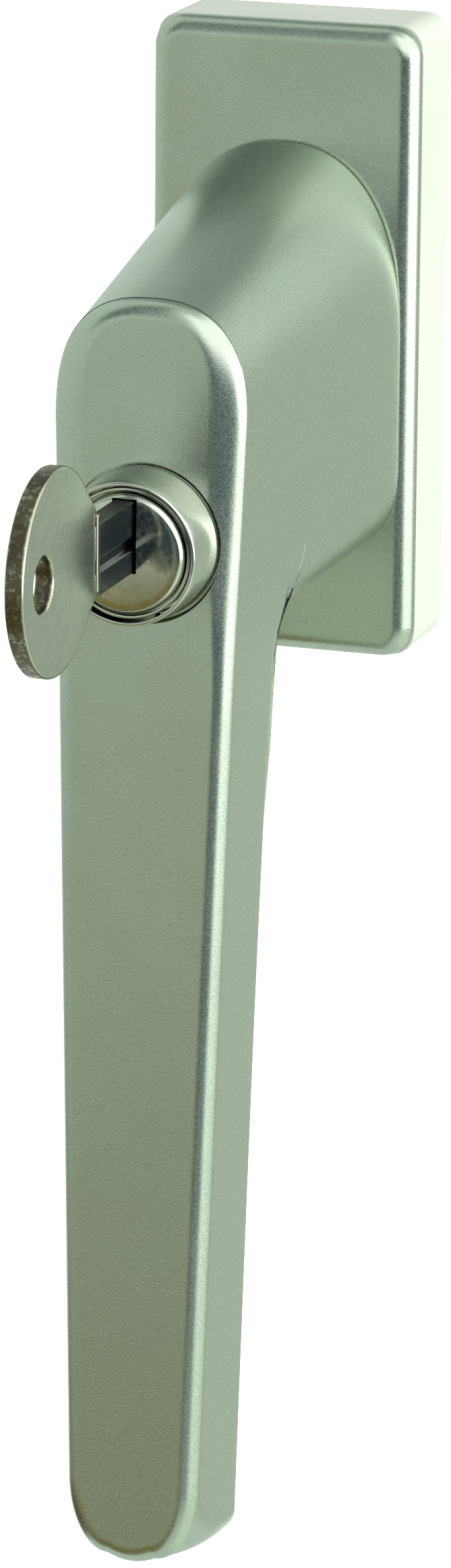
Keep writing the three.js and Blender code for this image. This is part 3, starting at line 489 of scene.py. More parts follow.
class Surface(Graph):
    """The nodes of one material, on the object's own coordinates."""

    def __init__(self, name):
        super().__init__(bpy.data.materials.new(name))
        self.shader = self.nodes["Principled BSDF"]
        self.coordinates = self.add("ShaderNodeTexCoord").outputs
        self.place = self.coordinates["Object"]

    def noise(self, size, detail=2.0, stretch=(1, 1, 1), roughness=0.5):
        """Noise whose features are about this many millimetres across."""
        scaled = self.add("ShaderNodeMapping", {"Vector": self.place, "Scale": stretch})
        values = {"Vector": scaled.outputs[0], "Scale": 1 / (size * MM)}
        values.update({"Detail": detail, "Roughness": roughness})
        return self.add("ShaderNodeTexNoise", values).outputs["Fac"]

    def edges(self, radius):
        """1 on edges sharper than the radius in millimetres, 0 on open faces."""
        bevel = self.add("ShaderNodeBevel", {"Radius": radius * MM}, samples=4).outputs[0]
        normal = self.add("ShaderNodeNewGeometry").outputs["Normal"]
        turned_by = self.add("ShaderNodeVectorMath", {0: bevel, 1: normal}, operation="DOT_PRODUCT")
        return self.ramp(turned_by.outputs["Value"], 0.995, 0.9)

    def bump(self, height, distance, strength):
        """A bump whose distance is in millimetres."""
        values = {"Height": height, "Distance": distance * MM, "Strength": strength}
        return self.add("ShaderNodeBump", values).outputs[0]

    def tones(self, factor, a, b):
        return self.blend(self.ramp(factor, 0.3, 0.7), a, b)

    def metal(self, colour, rough, normal):
        return self.finish(Base_Color=colour, Metallic=1.0, Roughness=rough, Normal=normal)

    def finish(self, **values):
        """Sets the shader's sockets, named with _ for each space, and returns the material."""
        for key, value in values.items():
            self.put(self.shader.inputs[key.replace("_", " ")], value)
        return self.owner


def satin_aluminium():
    """Fine-blasted, natural anodised aluminium with pits and bright specks."""
    g = Surface("satin_aluminium")
    grain = g.noise(0.2, 3.0, roughness=0.7)
    specks = g.noise(0.34, 2.0, roughness=0.8)
    patches = g.noise(9.0, 2.0)
    colour = g.tones(grain, (0.43, 0.485, 0.42), (0.57, 0.63, 0.55))
    colour = g.blend(g.ramp(patches, 0.35, 0.75, 0.0, 0.25), colour, (0.49, 0.51, 0.41))
    colour = g.blend(g.ramp(specks, 0.66, 0.74, 0.0, 0.6), colour, (0.78, 0.78, 0.76))
    colour = g.blend(g.ramp(specks, 0.33, 0.26, 0.0, 0.6), colour, (0.22, 0.24, 0.20))
    rough = g.math("ADD", g.ramp(grain, 0.3, 0.7, 0.20, 0.30), g.ramp(patches, 0.3, 0.7, -0.02, 0.02))
    return g.metal(colour, rough, g.bump(grain, 0.016, 0.7))


def cream_plastic():
    """Moulded polyamide with a fine spark-eroded texture."""
    g = Surface("cream_plastic")
    grain = g.noise(0.35, 3.0)
    cloud = g.noise(14.0, 2.0)
    colour = g.tones(cloud, (0.65, 0.665, 0.60), (0.70, 0.71, 0.645))
    worn = g.math("MULTIPLY", g.edges(0.5), g.ramp(grain, 0.45, 0.65))
    colour = g.blend(g.math("MULTIPLY", worn, 0.35), colour, (0.82, 0.83, 0.78))
    rough = g.ramp(grain, 0.3, 0.7, 0.42, 0.56)
    return g.finish(Base_Color=colour, Roughness=rough, Normal=g.bump(grain, 0.012, 0.5))


def bright_nickel():
    """Polished nickel plate with fine hairlines."""
    g = Surface("bright_nickel")
    hair = g.noise(0.5, 3.0, stretch=(1, 9, 1))
    smear = g.noise(3.0, 2.0)
    colour = g.tones(smear, (0.53, 0.55, 0.49), (0.62, 0.63, 0.57))
    rough = g.math("ADD", g.ramp(hair, 0.35, 0.7, 0.07, 0.2), g.ramp(smear, 0.4, 0.7, 0.0, 0.05))
    return g.metal(colour, rough, g.bump(hair, 0.002, 0.4))


def key_nickel():
    """Nickel plate of a used key: worn to brown brass on its rim, with painted shade on its blade."""
    g = Surface("key_nickel")
    hair = g.noise(0.3, 3.0, stretch=(1, 1, 7))
    spots = g.noise(0.7, 4.0, roughness=0.7)
    flat = g.math("ABSOLUTE", g.add("ShaderNodeSeparateXYZ", {0: g.coordinates["Normal"]}).outputs[0])
    depth = g.add("ShaderNodeSeparateXYZ", {0: g.place}).outputs[1]
    colour = g.blend(g.ramp(spots, 0.35, 0.7), (0.38, 0.42, 0.35), (0.47, 0.50, 0.42))
    worn = g.math("MULTIPLY", g.edges(0.7), g.ramp(spots, 0.42, 0.6))
    colour = g.blend(g.math("MULTIPLY", worn, 0.6), colour, (0.33, 0.24, 0.14))
    rim = g.math("MULTIPLY", g.ramp(flat, 0.75, 0.3, smooth=True), g.ramp(spots, 0.62, 0.5, 0.35, 1.0))
    colour = g.blend(rim, colour, (0.14, 0.115, 0.075))
    # Painted shade: from the shoulder on, the blade is painted near black for the shade and dark
    # reflections that it shows.
    blade = g.ramp(depth, -KEY_SHOULDER * MM, -(KEY_SHOULDER - 0.8) * MM, 0.0, 0.8, smooth=True)
    colour = g.blend(blade, colour, (0.10, 0.11, 0.12))
    rough = g.math("ADD", g.ramp(hair, 0.35, 0.7, 0.14, 0.26), g.math("MULTIPLY", rim, 0.16))
    return g.metal(colour, rough, g.bump(spots, 0.008, 0.5))


def plated_steel(name, tone):
    """Zinc-plated steel: a grey bloom over drawing marks."""
    g = Surface(name)
    marks = g.noise(0.4, 3.0, stretch=(1, 0.08, 1))
    bloom = g.noise(4.0, 4.0)
    dark = [channel * 0.78 for channel in tone]
    colour = g.tones(bloom, dark, tone)
    rough = g.math("ADD", g.ramp(marks, 0.3, 0.7, 0.22, 0.4), g.ramp(bloom, 0.4, 0.7, 0.0, 0.1))
    return g.metal(colour, rough, g.bump(marks, 0.006, 0.5))


def brass():
    """Machined brass with fine turning marks and a light tarnish."""
    g = Surface("brass")
    marks = g.noise(0.3, 3.0, stretch=(1, 6, 1))
    bloom = g.noise(2.5, 4.0)
    colour = g.tones(bloom, (0.53, 0.37, 0.14), (0.66, 0.49, 0.22))
    rough = g.ramp(marks, 0.3, 0.7, 0.2, 0.38)
    return g.metal(colour, rough, g.bump(marks, 0.004, 0.4))


def white_acetal():
    """Smooth, waxy moulded plastic."""
    g = Surface("white_acetal")
    grain = g.noise(0.25, 3.0)
    cloud = g.noise(6.0, 2.0)
    colour = g.tones(cloud, (0.68, 0.68, 0.64), (0.74, 0.74, 0.70))
    rough = g.ramp(grain, 0.3, 0.7, 0.38, 0.5)
    return g.finish(Base_Color=colour, Roughness=rough, Normal=g.bump(grain, 0.006, 0.4))


MATERIALS = {
    "satin_aluminium": satin_aluminium(),
    "cream_plastic": cream_plastic(),
    "bright_nickel": bright_nickel(),
    "plated_steel": plated_steel("plated_steel", (0.55, 0.56, 0.57)),
    "spring_steel": plated_steel("spring_steel", (0.36, 0.37, 0.39)),
    "brass": brass(),
    "white_acetal": white_acetal(),
}
KEY_NICKEL = key_nickel()


def place(obj, body, slot, replaced, material=None, sharp=32):
    """Shades a finished piece, gives it the material of its slot, puts it in its body and hides the CAD
    node that it stands for.
    """
    shaded(obj, sharp)
    obj.data.materials.clear()
    obj.data.materials.append(material or MATERIALS[slot])
    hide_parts(replaced)
    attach(obj, body)
    return obj


# ---- rosette

SMALLEST_CORNER = 0.2


def rectangle_rings(line, corner, half_width, half_height):
    """Rings of a rounded rectangle from a line of (inset, depth) points."""
    rings = []
    for inset, depth in line:
        radius = max(SMALLEST_CORNER, corner - inset)
        outline = rounded_rectangle(half_width - inset, half_height - inset, radius)
        rings.append([(x, -depth, z) for x, z in outline])
    return rings


def mounting_base():
    """The moulded base: a seat for the bearing, and a countersunk hole and a spigot for each screw."""
    edge = [(BASE_EDGE, 0, 0), (0, 0, BASE_EDGE), (0, BASE_DEPTH, BASE_EDGE), (BASE_EDGE, BASE_DEPTH, 0)]
    base = loft("base_frame", rectangle_rings(softened(edge), BASE_CORNER, BASE_HIGH.x, BASE_HIGH.z))
    seat = DISC_BACK - GAP / 2
    front = BASE_DEPTH + CUT
    tools = [
        rod(POCKET_RADIUS, seat, front, segments=96),
        rod(LEDGE_RADIUS, BASE_FLOOR, BASE_DEPTH, segments=96),
        rod(STUB_RADIUS + RUNNING_GAP, -CUT, BASE_DEPTH, segments=96),
        block(TAB_HALF_WIDTH, seat, front, -TAB_END, TAB_END),
    ]
    end = -BASE_HIGH.y
    straight = SCREW_RADIUS + GAP
    mouth = SCREW_HEAD_RADIUS + GAP + 0.1
    sink = BASE_DEPTH - 2 * GAP - (SCREW_HEAD_RADIUS - SCREW_RADIUS)
    hole = [(0, end - CUT, 0), (straight, end - CUT, 0), (straight, sink, 0)]
    hole += [(mouth, sink + mouth - straight, 0), (mouth, front, 0), (0, front, 0)]
    spigot = [(0, end, 0), (SPIGOT_RADIUS, end, 0.6), (SPIGOT_RADIUS, 1, 0), (0, 1, 0)]
    spigots = []
    for side in (-1, 1):
        z = side * SCREW_SPACING / 2
        spigots.append(turned("tool", spigot, z=z))
        tools.append(turned("tool", hole, z=z, segments=SINK_SIDES))
        far = side * (BASE_HIGH.z - BACK_POCKET_FAR)
        near = side * (BASE_HIGH.z - BACK_POCKET_NEAR)
        low, high = sorted((far, near))
        for x in (-BACK_POCKET_X, BACK_POCKET_X):
            tools.append(block(BACK_POCKET_HALF_WIDTH, -CUT, BACK_POCKET_DEPTH, low, high, x))
    combine(base, spigots, "UNION")
    combine(base, tools)
    return place(base, "base", "cream_plastic", "mounting_base")


def rosette_cover():
    """A pressed cap: a flat front, a soft edge all round and a thin wall."""
    front = COVER_FRONT
    size = (ROSETTE_CORNER, ROSETTE_HALF_WIDTH, ROSETTE_HALF_HEIGHT)
    outer = [(0, COVER_BACK)]
    outer += [(0, depth) for depth in spread(COVER_BACK + GAP, front - COVER_EDGE, 3)]
    for turn in shares(COVER_EDGE_STEPS):
        inset, rise = round_edge(turn, COVER_EDGE)
        outer.append((inset, front - rise))
    outer.append((COVER_EDGE + 0.25, front))
    cover = loft("cover_plate", rectangle_rings(outer, *size))
    inner = [(COVER_WALL, COVER_BACK - CUT), (COVER_WALL, front - COVER_WALL)]
    hollow = loft("tool", rectangle_rings(inner, *size))
    hole = JOURNAL_RADIUS + 2 * RUNNING_GAP
    opening = [
        (0, COVER_BACK - CUT, 0),
        (hole, COVER_BACK - CUT, 0),
        (hole, front - 0.1, 0),
        (hole + 0.3, front + 0.2, 0),
        (0, front + 0.2, 0),
    ]
    combine(cover, [hollow, turned("tool", opening)])
    return place(cover, "cover", "satin_aluminium", "rosette_cover")


def fixing_screw(name, node, z):
    """A countersunk machine screw with a cross recess and a rolled thread."""
    top = BASE_DEPTH - GAP
    tip = top - SCREW_LENGTH
    neck = top - (SCREW_HEAD_RADIUS - SCREW_RADIUS)

    def ring(depth, radius_at):
        points = []
        for angle in full_turn(SCREW_SIDES):
            radius = radius_at(angle)
            points.append((radius * cos(angle), -depth, z + radius * sin(angle)))
        return points

    def plain(radius, depth):
        return ring(depth, lambda angle: radius)

    def threaded(depth):
        run_in = min(1, max(0, (depth - tip) / THREAD_RUN_IN), max(0, -depth / THREAD_RUN_OUT))
        height = THREAD_DEPTH * mix(THREAD_FAINTEST, 1, run_in)

        def radius_at(angle):
            phase = (depth / THREAD_PITCH + angle / (2 * pi)) % 1
            ridge = 1 - min(1, abs(phase - 0.5) * THREAD_FLANK)
            return SCREW_RADIUS - height * (1 - ridge)

        return ring(depth, radius_at)

    count = int(-tip / THREAD_PITCH * THREAD_STEPS)
    rings = [plain(0.01, tip), plain(SCREW_RADIUS - 0.75, tip)]
    rings += [threaded(depth) for depth in spread(tip + 0.35, -0.05, count)]
    rings += [plain(SCREW_RADIUS, 0.3), plain(SCREW_RADIUS, neck)]
    rings += [plain(SCREW_HEAD_RADIUS, top - 0.45), plain(SCREW_HEAD_RADIUS, top - 0.25)]
    rings += [plain(SCREW_HEAD_RADIUS - 0.2, top), plain(2.0, top), plain(0.01, top)]
    screw = loft(name, rings)
    recess = []
    for upright in (True, False):
        ends = []
        for share in (0, 1):
            long = mix(*RECESS_HALF_LENGTHS, share)
            thin = mix(*RECESS_HALF_WIDTHS, share)
            x, up = (thin, long) if upright else (long, thin)
            y = -mix(top + 0.2, top - RECESS_DEPTH, share)
            ends.append([(-x, y, z - up), (x, y, z - up), (x, y, z + up), (-x, y, z + up)])
        recess.append(loft("tool", ends))
    combine(screw, recess)
    return place(screw, "base", "plated_steel", node, sharp=40)


# ---- lever

# A ring of the lever's skin is drawn in steps: over the arch, then down one side to the
# lowest point. Each step is cut into finer ones.
ARCH_STEPS = 8
LOWER_STEPS = 17
STRAIGHT_STEPS = 2  # of the neck's straight side
BESIDE_NECK_START = 3  # the lever's back edge grows between these two steps
BESIDE_NECK_END = 6
CORNER_STEP = 10  # where the neck's corner ends
SIDE_STEPS = 11  # of the lever's side
CORNER_STEPS = 4  # of the tip's corner
FINE = 4
SIDE_CROWDING = 1.5  # powers that crowd the points towards one end
BACK_CROWDING = 1.8
NECK_RIM_RINGS = 5
NECK_RINGS = 12
BACK_RINGS = 20
BACK_EDGE_RINGS = 8
SIDE_RINGS = 8
FRONT_EDGE_RINGS = 14


def neck_share(depth):
    """How far between the neck's foot and the head's front edge a depth is."""
    end = front_depth(0) - LEVER_FRONT_EDGE
    return min(1, (depth - FOOT) / (end - FOOT))


def arch_point(step, depth, inset):
    """A point of the arch over the axis, which is a quarter of a superellipse."""
    share = neck_share(depth)
    power = mix(ARCH_FOOT_ROUNDNESS, ARCH_HEAD_ROUNDNESS, share)
    angle = step / ARCH_STEPS * pi / 2
    half_width = mix(NECK_HALF_WIDTH, LEVER_HALF_WIDTH, share) - inset
    top = mix(NECK_TOP, LEVER_TOP, share) - inset
    return half_width * sin(angle) ** (2 / power), top * cos(angle) ** (2 / power)


def underside_reach(x, half_width):
    """Height of the neck's rounded underside at x, as a share of its height in the middle."""
    return max(0, 1 - (abs(x) / half_width) ** NECK_ROUNDNESS) ** (1 / NECK_ROUNDNESS)


def neck_point(step, depth):
    """A point of the neck's lower half: straight sides, then half a superellipse."""
    share = neck_share(depth)
    if step <= STRAIGHT_STEPS:
        z = -NECK_STRAIGHT * step / STRAIGHT_STEPS
        return mix(NECK_HALF_WIDTH, lever_half_width(z), share), z
    half_width = mix(NECK_HALF_WIDTH, lever_half_width(-NECK_STRAIGHT), share)
    angle = (step - STRAIGHT_STEPS) / (LOWER_STEPS - STRAIGHT_STEPS) * pi / 2
    underside = NECK_UNDERSIDE + NECK_UNDERSIDE_FALL * share - NECK_STRAIGHT
    height = underside / underside_reach(NECK_UNDERSIDE_X, half_width)
    power = 2 / NECK_ROUNDNESS
    return half_width * max(0, cos(angle)) ** power, -NECK_STRAIGHT - height * sin(angle) ** power


def lever_half_width(z):
    """The lever tapers to its shoulder, and from there more slowly to its tip."""
    share = (z - LEVER_SHOULDER_Z) / (LEVER_TIP_Z - LEVER_SHOULDER_Z)
    if share > 0:
        return mix(LEVER_SHOULDER_HALF_WIDTH, LEVER_TIP_HALF_WIDTH, share)
    return mix(LEVER_HALF_WIDTH, LEVER_SHOULDER_HALF_WIDTH, z / LEVER_SHOULDER_Z)


def flare(depth, z):
    """How much wider than the lever its side is where it runs on from the neck."""
    blend = soft_step(z, FLARE_END_Z, FLARE_START_Z)
    return blend * (1 - neck_share(depth)) * (NECK_HALF_WIDTH - lever_half_width(z))


def corner_half_width(depth, z):
    """Half width of the corner where the neck's side and underside run into the lever's side."""
    share = within(depth, NECK_END, LEVER_BACK_START)
    half_width = mix(NECK_HALF_WIDTH, lever_half_width(-NECK_STRAIGHT), neck_share(NECK_END))
    lowest = neck_point(LOWER_STEPS, NECK_END)[1]
    outline = half_width * underside_reach(-NECK_STRAIGHT - z, -NECK_STRAIGHT - lowest)
    return mix(outline, lever_half_width(z) + flare(depth, z), share)


def back_edge(step):
    """Size of the lever's back edge, which fades out beside the neck."""
    return LEVER_BACK_EDGE * within(step, BESIDE_NECK_START, BESIDE_NECK_END)


def beside_neck(step):
    """1 at the lever's top, falling to 0 where it has come out below the neck."""
    return max(0, 1 - step / BESIDE_NECK_END)


def lever_point(step, inset, forward):
    """A point of the lever's lower half. Forward is 0 at the back and 1 at the front."""
    roundness = forward**3
    across = mix(*TIP_CORNER_ACROSS, roundness) - inset * TIP_CORNER_SHRINK
    up = mix(*TIP_CORNER_UP, roundness) - inset
    tip = LEVER_TIP_Z + inset - LEVER_TIP_LEAN * (1 - forward)
    side_end = tip + LEVER_TIP_SAG + up
    if step <= SIDE_STEPS:
        z = side_end * (step / SIDE_STEPS) ** SIDE_CROWDING
        return lever_half_width(z) - inset, z
    side = lever_half_width(side_end) - inset
    beyond = step - SIDE_STEPS
    if beyond <= CORNER_STEPS:
        angle = beyond / CORNER_STEPS * pi / 2
        return side - across * (1 - cos(angle)), side_end - up * sin(angle)
    share = (beyond - CORNER_STEPS) / (LOWER_STEPS - SIDE_STEPS - CORNER_STEPS)
    sag = LEVER_TIP_SAG * (1 - (1 - share) ** 2)
    return (side - across) * (1 - share), side_end - up - sag


def front_depth(z):
    """Depth of the sloping front face."""
    return LEVER_FRONT - LEVER_FRONT_SLOPE * (z - LEVER_FRONT_Z)


def back_depth(x, z):
    """Depth of the surface behind the lever at a point below the neck."""
    half_width = mix(NECK_HALF_WIDTH, LEVER_HALF_WIDTH, neck_share(NECK_END))
    reach = underside_reach(x, half_width)
    lowest = neck_point(LOWER_STEPS, NECK_END)[1]
    underside = -NECK_STRAIGHT + (lowest + NECK_STRAIGHT) * reach
    below = min(max(underside - z, 0), NECK_FILLET)
    fillet = sqrt(NECK_FILLET**2 - (NECK_FILLET - below) ** 2)
    run = min(0, z - LEVER_BACK_START_Z)
    curve = LEVER_BACK_FALL * (1 - exp(run / LEVER_BACK_RUN))
    return NECK_END + fillet + curve - LEVER_BACK_SLOPE * run


def behind_lever(x, z):
    """Depth where the lever's back edge begins."""
    return max(LEVER_BACK_START, back_depth(x + flare(LEVER_BACK_START, z), z))


def lever_ring(arch_depth, arch_inset, lower_point):
    """A ring of the lever's skin: half from the top to the lowest point, and its mirror image."""
    half = []
    for i in range(ARCH_STEPS * FINE):
        x, z = arch_point(i / FINE, arch_depth, arch_inset)
        half.append((x, -arch_depth, z))
    half += [lower_point(i / FINE) for i in range(LOWER_STEPS * FINE + 1)]
    half[0] = (0, *half[0][1:])
    half[-1] = (0, *half[-1][1:])
    return half + [(-x, y, z) for x, y, z in reversed(half[1:-1])]


def neck_ring(depth, inset=0.0):
    """A ring round the neck."""

    def lower(step):
        x, z = neck_point(step, depth)
        return x - inset * x / NECK_HALF_WIDTH, -depth, z - inset * min(0, z) / NECK_UNDERSIDE

    return lever_ring(depth, inset, lower)


def back_ring(share):
    """The skin goes down the lever's back as share goes from 0 to 1."""
    shallow = NECK_END + (LEVER_BACK_START - NECK_END) * share

    def lower(step):
        neck_x, neck_z = neck_point(step, shallow)
        lever_x, lever_z = lever_point(step, back_edge(step), 0)
        wide = lever_x + flare(shallow, lever_z)
        lever_depth = max(shallow, back_depth(wide, lever_z))
        x = mix(neck_x, lever_x + flare(lever_depth, lever_z), share)
        z = mix(neck_z, lever_z, share)
        if step < CORNER_STEP and z < -NECK_STRAIGHT:
            x = min(x, corner_half_width(max(shallow, back_depth(x, z)), z))
        return x, -max(shallow, back_depth(x, z)), z

    return lever_ring(shallow, 0, lower)


def back_edge_ring(turn):
    """Turn goes from 0, on the lever's back, to 1, on its side."""
    rise, inset = round_edge(turn, 1)
    rise *= LEVER_BACK_EDGE

    def lower(step):
        x, z = lever_point(step, back_edge(step) * inset, 0)
        depth = behind_lever(x, z) + rise + turn * beside_neck(step)
        return x + flare(depth, z), -depth, z

    return lever_ring(LEVER_BACK_START + rise + turn, 0, lower)


def side_ring(share):
    """A ring at a share of the way along the lever's side to its front edge."""
    start = LEVER_BACK_START + 1 + LEVER_BACK_EDGE
    arch_depth = mix(start, front_depth(0) - LEVER_FRONT_EDGE, share)

    def lower(step):
        x, z = lever_point(step, 0, share)
        back = behind_lever(x, z) + LEVER_BACK_EDGE + beside_neck(step)
        depth = mix(back, front_depth(z) - LEVER_FRONT_EDGE, share)
        return x + flare(depth, z), -depth, z

    return lever_ring(arch_depth, 0, lower)


def front_edge_ring(turn, extra=0.0):
    """Turn goes from 0, on the lever's side, to 1, on its front."""
    inset, rise = round_edge(turn, LEVER_FRONT_EDGE)
    crown_now = HEAD_CROWN * (1 - cos(turn * pi / 2))
    inset += extra

    def lower(step):
        x, z = lever_point(step, inset, 1)
        return x, 0, z

    ring = []
    for x, _, z in lever_ring(LEVER_FRONT, inset, lower):
        crown = crown_now * soft_step(z, CROWN_END_Z, CROWN_START_Z)
        sideways = (x / LEVER_HALF_WIDTH) ** 3
        ring.append((x - crown * sideways, -(front_depth(z) - rise), z))
    return ring


def lever_skin():
    """The rings of the lever, from the neck's foot to the front face."""
    rings = []
    for turn in spread(0, 1, NECK_RIM_RINGS):
        rise, inset = round_edge(turn, NECK_RIM)
        rings.append(neck_ring(FOOT + rise, inset))
    rings += [neck_ring(depth) for depth in spread(FOOT + 1, NECK_END, NECK_RINGS)]
    rings += [back_ring(share**BACK_CROWDING) for share in shares(BACK_RINGS)]
    rings += [back_edge_ring(turn) for turn in shares(BACK_EDGE_RINGS)]
    rings += [side_ring(share) for share in shares(SIDE_RINGS)]
    rings += [front_edge_ring(turn) for turn in shares(FRONT_EDGE_RINGS)]
    return rings + [front_edge_ring(1, 0.25)]


def lever_journal():
    """The round foot that turns in the base, and the stub with the retaining ring's groove."""
    journal = [
        (0, JOURNAL_BACK, 0),
        (JOURNAL_RADIUS, JOURNAL_BACK, 0.4),
        (JOURNAL_RADIUS, FOOT + CUT, 0),
        (0, FOOT + CUT, 0),
    ]
    groove_start, groove_end = RING_GROOVE
    stub = [
        (0, STUB_BACK, 0),
        (STUB_RADIUS, STUB_BACK, 0.3),
        (STUB_RADIUS, groove_start, 0),
        (STUB_RADIUS - RING_GROOVE_DEPTH, groove_start, 0),
        (STUB_RADIUS - RING_GROOVE_DEPTH, groove_end, 0),
        (STUB_RADIUS, groove_end, 0),
        (STUB_RADIUS, JOURNAL_BACK + CUT, 0),
        (0, JOURNAL_BACK + CUT, 0),
    ]
    return [turned("tool", journal), turned("tool", stub)]


def lever_hollows():
    """The socket for the spindle, the seat of the lock, and bores for the pins, bolt and balls."""
    socket = SPINDLE_HIGH.x + BORE_GAP
    recess = BEZEL_BASE_RADIUS + 0.25
    mouth = front_depth(LOCK_Z)
    seat = [
        (0, BEZEL_SEAT, 0),
        (recess, BEZEL_SEAT, 0),
        (recess, mouth - 0.12, 0),
        (recess + 0.3, mouth + 0.3, 0),
        (0, mouth + 3, 0),
    ]
    tools = [
        block(socket, 0, SOCKET_END, -socket, socket),
        rod(HOUSING_RADIUS + BORE_GAP, LOCK_BORE_BACK, BEZEL_SEAT + CUT, z=LOCK_Z),
        turned("tool", seat, z=LOCK_Z, segments=128),
        cross_rod(PIN_RADIUS + BORE_GAP, -20, 7.2, PIN_DEPTH, 0),
        cross_rod(PIN_RADIUS + RUNNING_GAP, -20, 0, HOUSING_SCREW_DEPTH, LOCK_Z),
    ]
    spring_low, spring_high = box_mm("bolt_spring")
    bolt_z = (spring_low.z + spring_high.z) / 2
    tools.append(rod(BOLT_BORE, 0, CAM_BACK, z=bolt_z))
    tools.append(rod(SPRING_POCKET, SPRING_SEAT, CAM_BACK, z=bolt_z))
    for name in ("detent_ball_upper", "detent_ball_lower"):
        low, high = box_mm(name)
        middle = (low + high) / 2
        tools.append(rod((high.x - low.x) / 2 + BORE_GAP, 0, BALL_BORE_END, middle.x, middle.z))
    return tools


def lever_handle():
    """The cast lever with its neck and journal, hollowed for what it holds."""
    lever = loft("lever_body", lever_skin())
    combine(lever, lever_journal(), "UNION")
    combine(lever, lever_hollows())
    return place(lever, "lever", "satin_aluminium", "lever_handle")


def spindle():
    """A square bar with chamfered edges, a tapered tip and a cross hole."""
    half = SPINDLE_HIGH.x
    chamfer = SPINDLE_CHAMFER * sqrt(2)
    corners = []
    for sx, sz in ((1, 1), (-1, 1), (-1, -1), (1, -1)):
        pair = [(sx * half, sz * (half - chamfer)), (sx * (half - chamfer), sz * half)]
        corners += pair if sx * sz > 0 else pair[::-1]
    tip = -SPINDLE_HIGH.y
    rings = []
    for depth, share in ((tip, SPINDLE_TIP_SHARE), (tip + SPINDLE_TIP, 1), (-SPINDLE_LOW.y, 1)):
        rings.append([(x * share, -depth, z * share) for x, z in corners])
    bar = rounded(loft("spindle_bar", rings), 0.12, 2, 20)
    combine(bar, [cross_rod(PIN_RADIUS + 0.1, -9, 9, PIN_DEPTH, 0)])
    return place(bar, "lever", "plated_steel", "spindle")


def plain_pin(name, node, from_x, to_x, depth, z, socket=0.0):
    """A cross pin with rounded ends, or a grub screw when it has a six-sided socket."""
    small = PIN_RADIUS - PIN_EDGE
    middle = PIN_EDGE * 0.3
    ends = [(from_x, small), (from_x + middle, PIN_RADIUS - middle), (from_x + PIN_EDGE, PIN_RADIUS)]
    ends += [(to_x - PIN_EDGE, PIN_RADIUS), (to_x - middle, PIN_RADIUS - middle), (to_x, small)]
    pin = turned_across(name, ends, depth, z, PIN_SIDES)
    if socket:
        combine(pin, [cross_rod(socket, from_x - CUT, from_x + 0.9, depth, z, 6)])
    return place(pin, "lever", "plated_steel", node)


# ---- lock


def bolt_spring():
    """The locking bolt's return spring, built as a coil of one length; in the lock it shortens as the bolt
    slides towards the sash.
    """
    low, high = box_mm("bolt_spring")
    middle_z = (low.z + high.z) / 2
    coil_radius = high.x - SPRING_WIRE
    back = -high.y
    front = -low.y
    rings = []
    for share in spread(0, 1, SPRING_TURNS * SPRING_STEPS + 1):
        turn = 2 * pi * SPRING_TURNS * share
        depth = mix(back + SPRING_WIRE, front - SPRING_WIRE, share)
        ring = []
        for angle in spread(0, 2 * pi, 13)[:-1]:
            reach = coil_radius + SPRING_WIRE * cos(angle)
            y = -depth - SPRING_WIRE * sin(angle)
            ring.append((reach * cos(turn), y, middle_z + reach * sin(turn)))
        rings.append(ring)
    coil = loft("bolt_return_spring", rings)
    spring = place(coil, "lever", "spring_steel", "bolt_spring")
    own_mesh(spring)
    return spring


def lock_bezel():
    """A conical ring with a rounded rim, open at its middle for the cylinder."""
    foot = BEZEL_SEAT + GAP
    inner = HOUSING_RADIUS + RUNNING_GAP
    line = [
        (inner, foot, 0),
        (BEZEL_BASE_RADIUS - 0.1, foot, 0),
        (BEZEL_BASE_RADIUS, foot + 0.6, 0.3),
        (BEZEL_BASE_RADIUS, foot + 1.1, 0.8),
        (BEZEL_RIM_RADIUS + 0.12, BEZEL_FRONT - 0.7, 0.5),
        (BEZEL_RIM_RADIUS - 0.02, BEZEL_FRONT, 0.22),
        (BEZEL_BORE, BEZEL_FRONT, 0.1),
        (BEZEL_BORE, HOUSING_NOSE - 2.4, 0),
        (inner, HOUSING_NOSE - 2.6, 0),
    ]
    bezel = turned("lock_collar", line, z=LOCK_Z, segments=160, looped=True)
    return place(bezel, "lever", "bright_nickel", "lock_bezel")


def cylinder_housing():
    """A tube with a narrower nose, a bore for the plug and a channel for the wafers."""
    nose = HOUSING_NOSE
    step = nose - HOUSING_NOSE_LENGTH
    seat = PLUG_FACE - FLANGE
    face = PLUG_FACE_RADIUS + BORE_GAP
    bore = PLUG_RADIUS + BORE_GAP
    line = [
        (bore, HOUSING_BACK, 0),
        (HOUSING_RADIUS, HOUSING_BACK, 0.4),
        (HOUSING_RADIUS, step, 0.2),
        (HOUSING_NOSE_RADIUS, step, 0),
        (HOUSING_NOSE_RADIUS, nose, 0.12),
        (face, nose, 0.08),
        (face, seat, 0),
        (bore, seat, 0),
    ]
    housing = turned("lock_housing", line, z=LOCK_Z, segments=128, looped=True)
    low = LOCK_Z - WAFER_CHANNEL_HALF_HEIGHT
    high = LOCK_Z + WAFER_CHANNEL_HALF_HEIGHT
    back = WAFER_DEPTHS[-1] - 3
    combine(housing, [block(WAFER_CHANNEL_HALF_WIDTH, back, WAFER_DEPTHS[0] + 0.9, low, high)])
    return place(housing, "lever", "bright_nickel", "cylinder_housing")


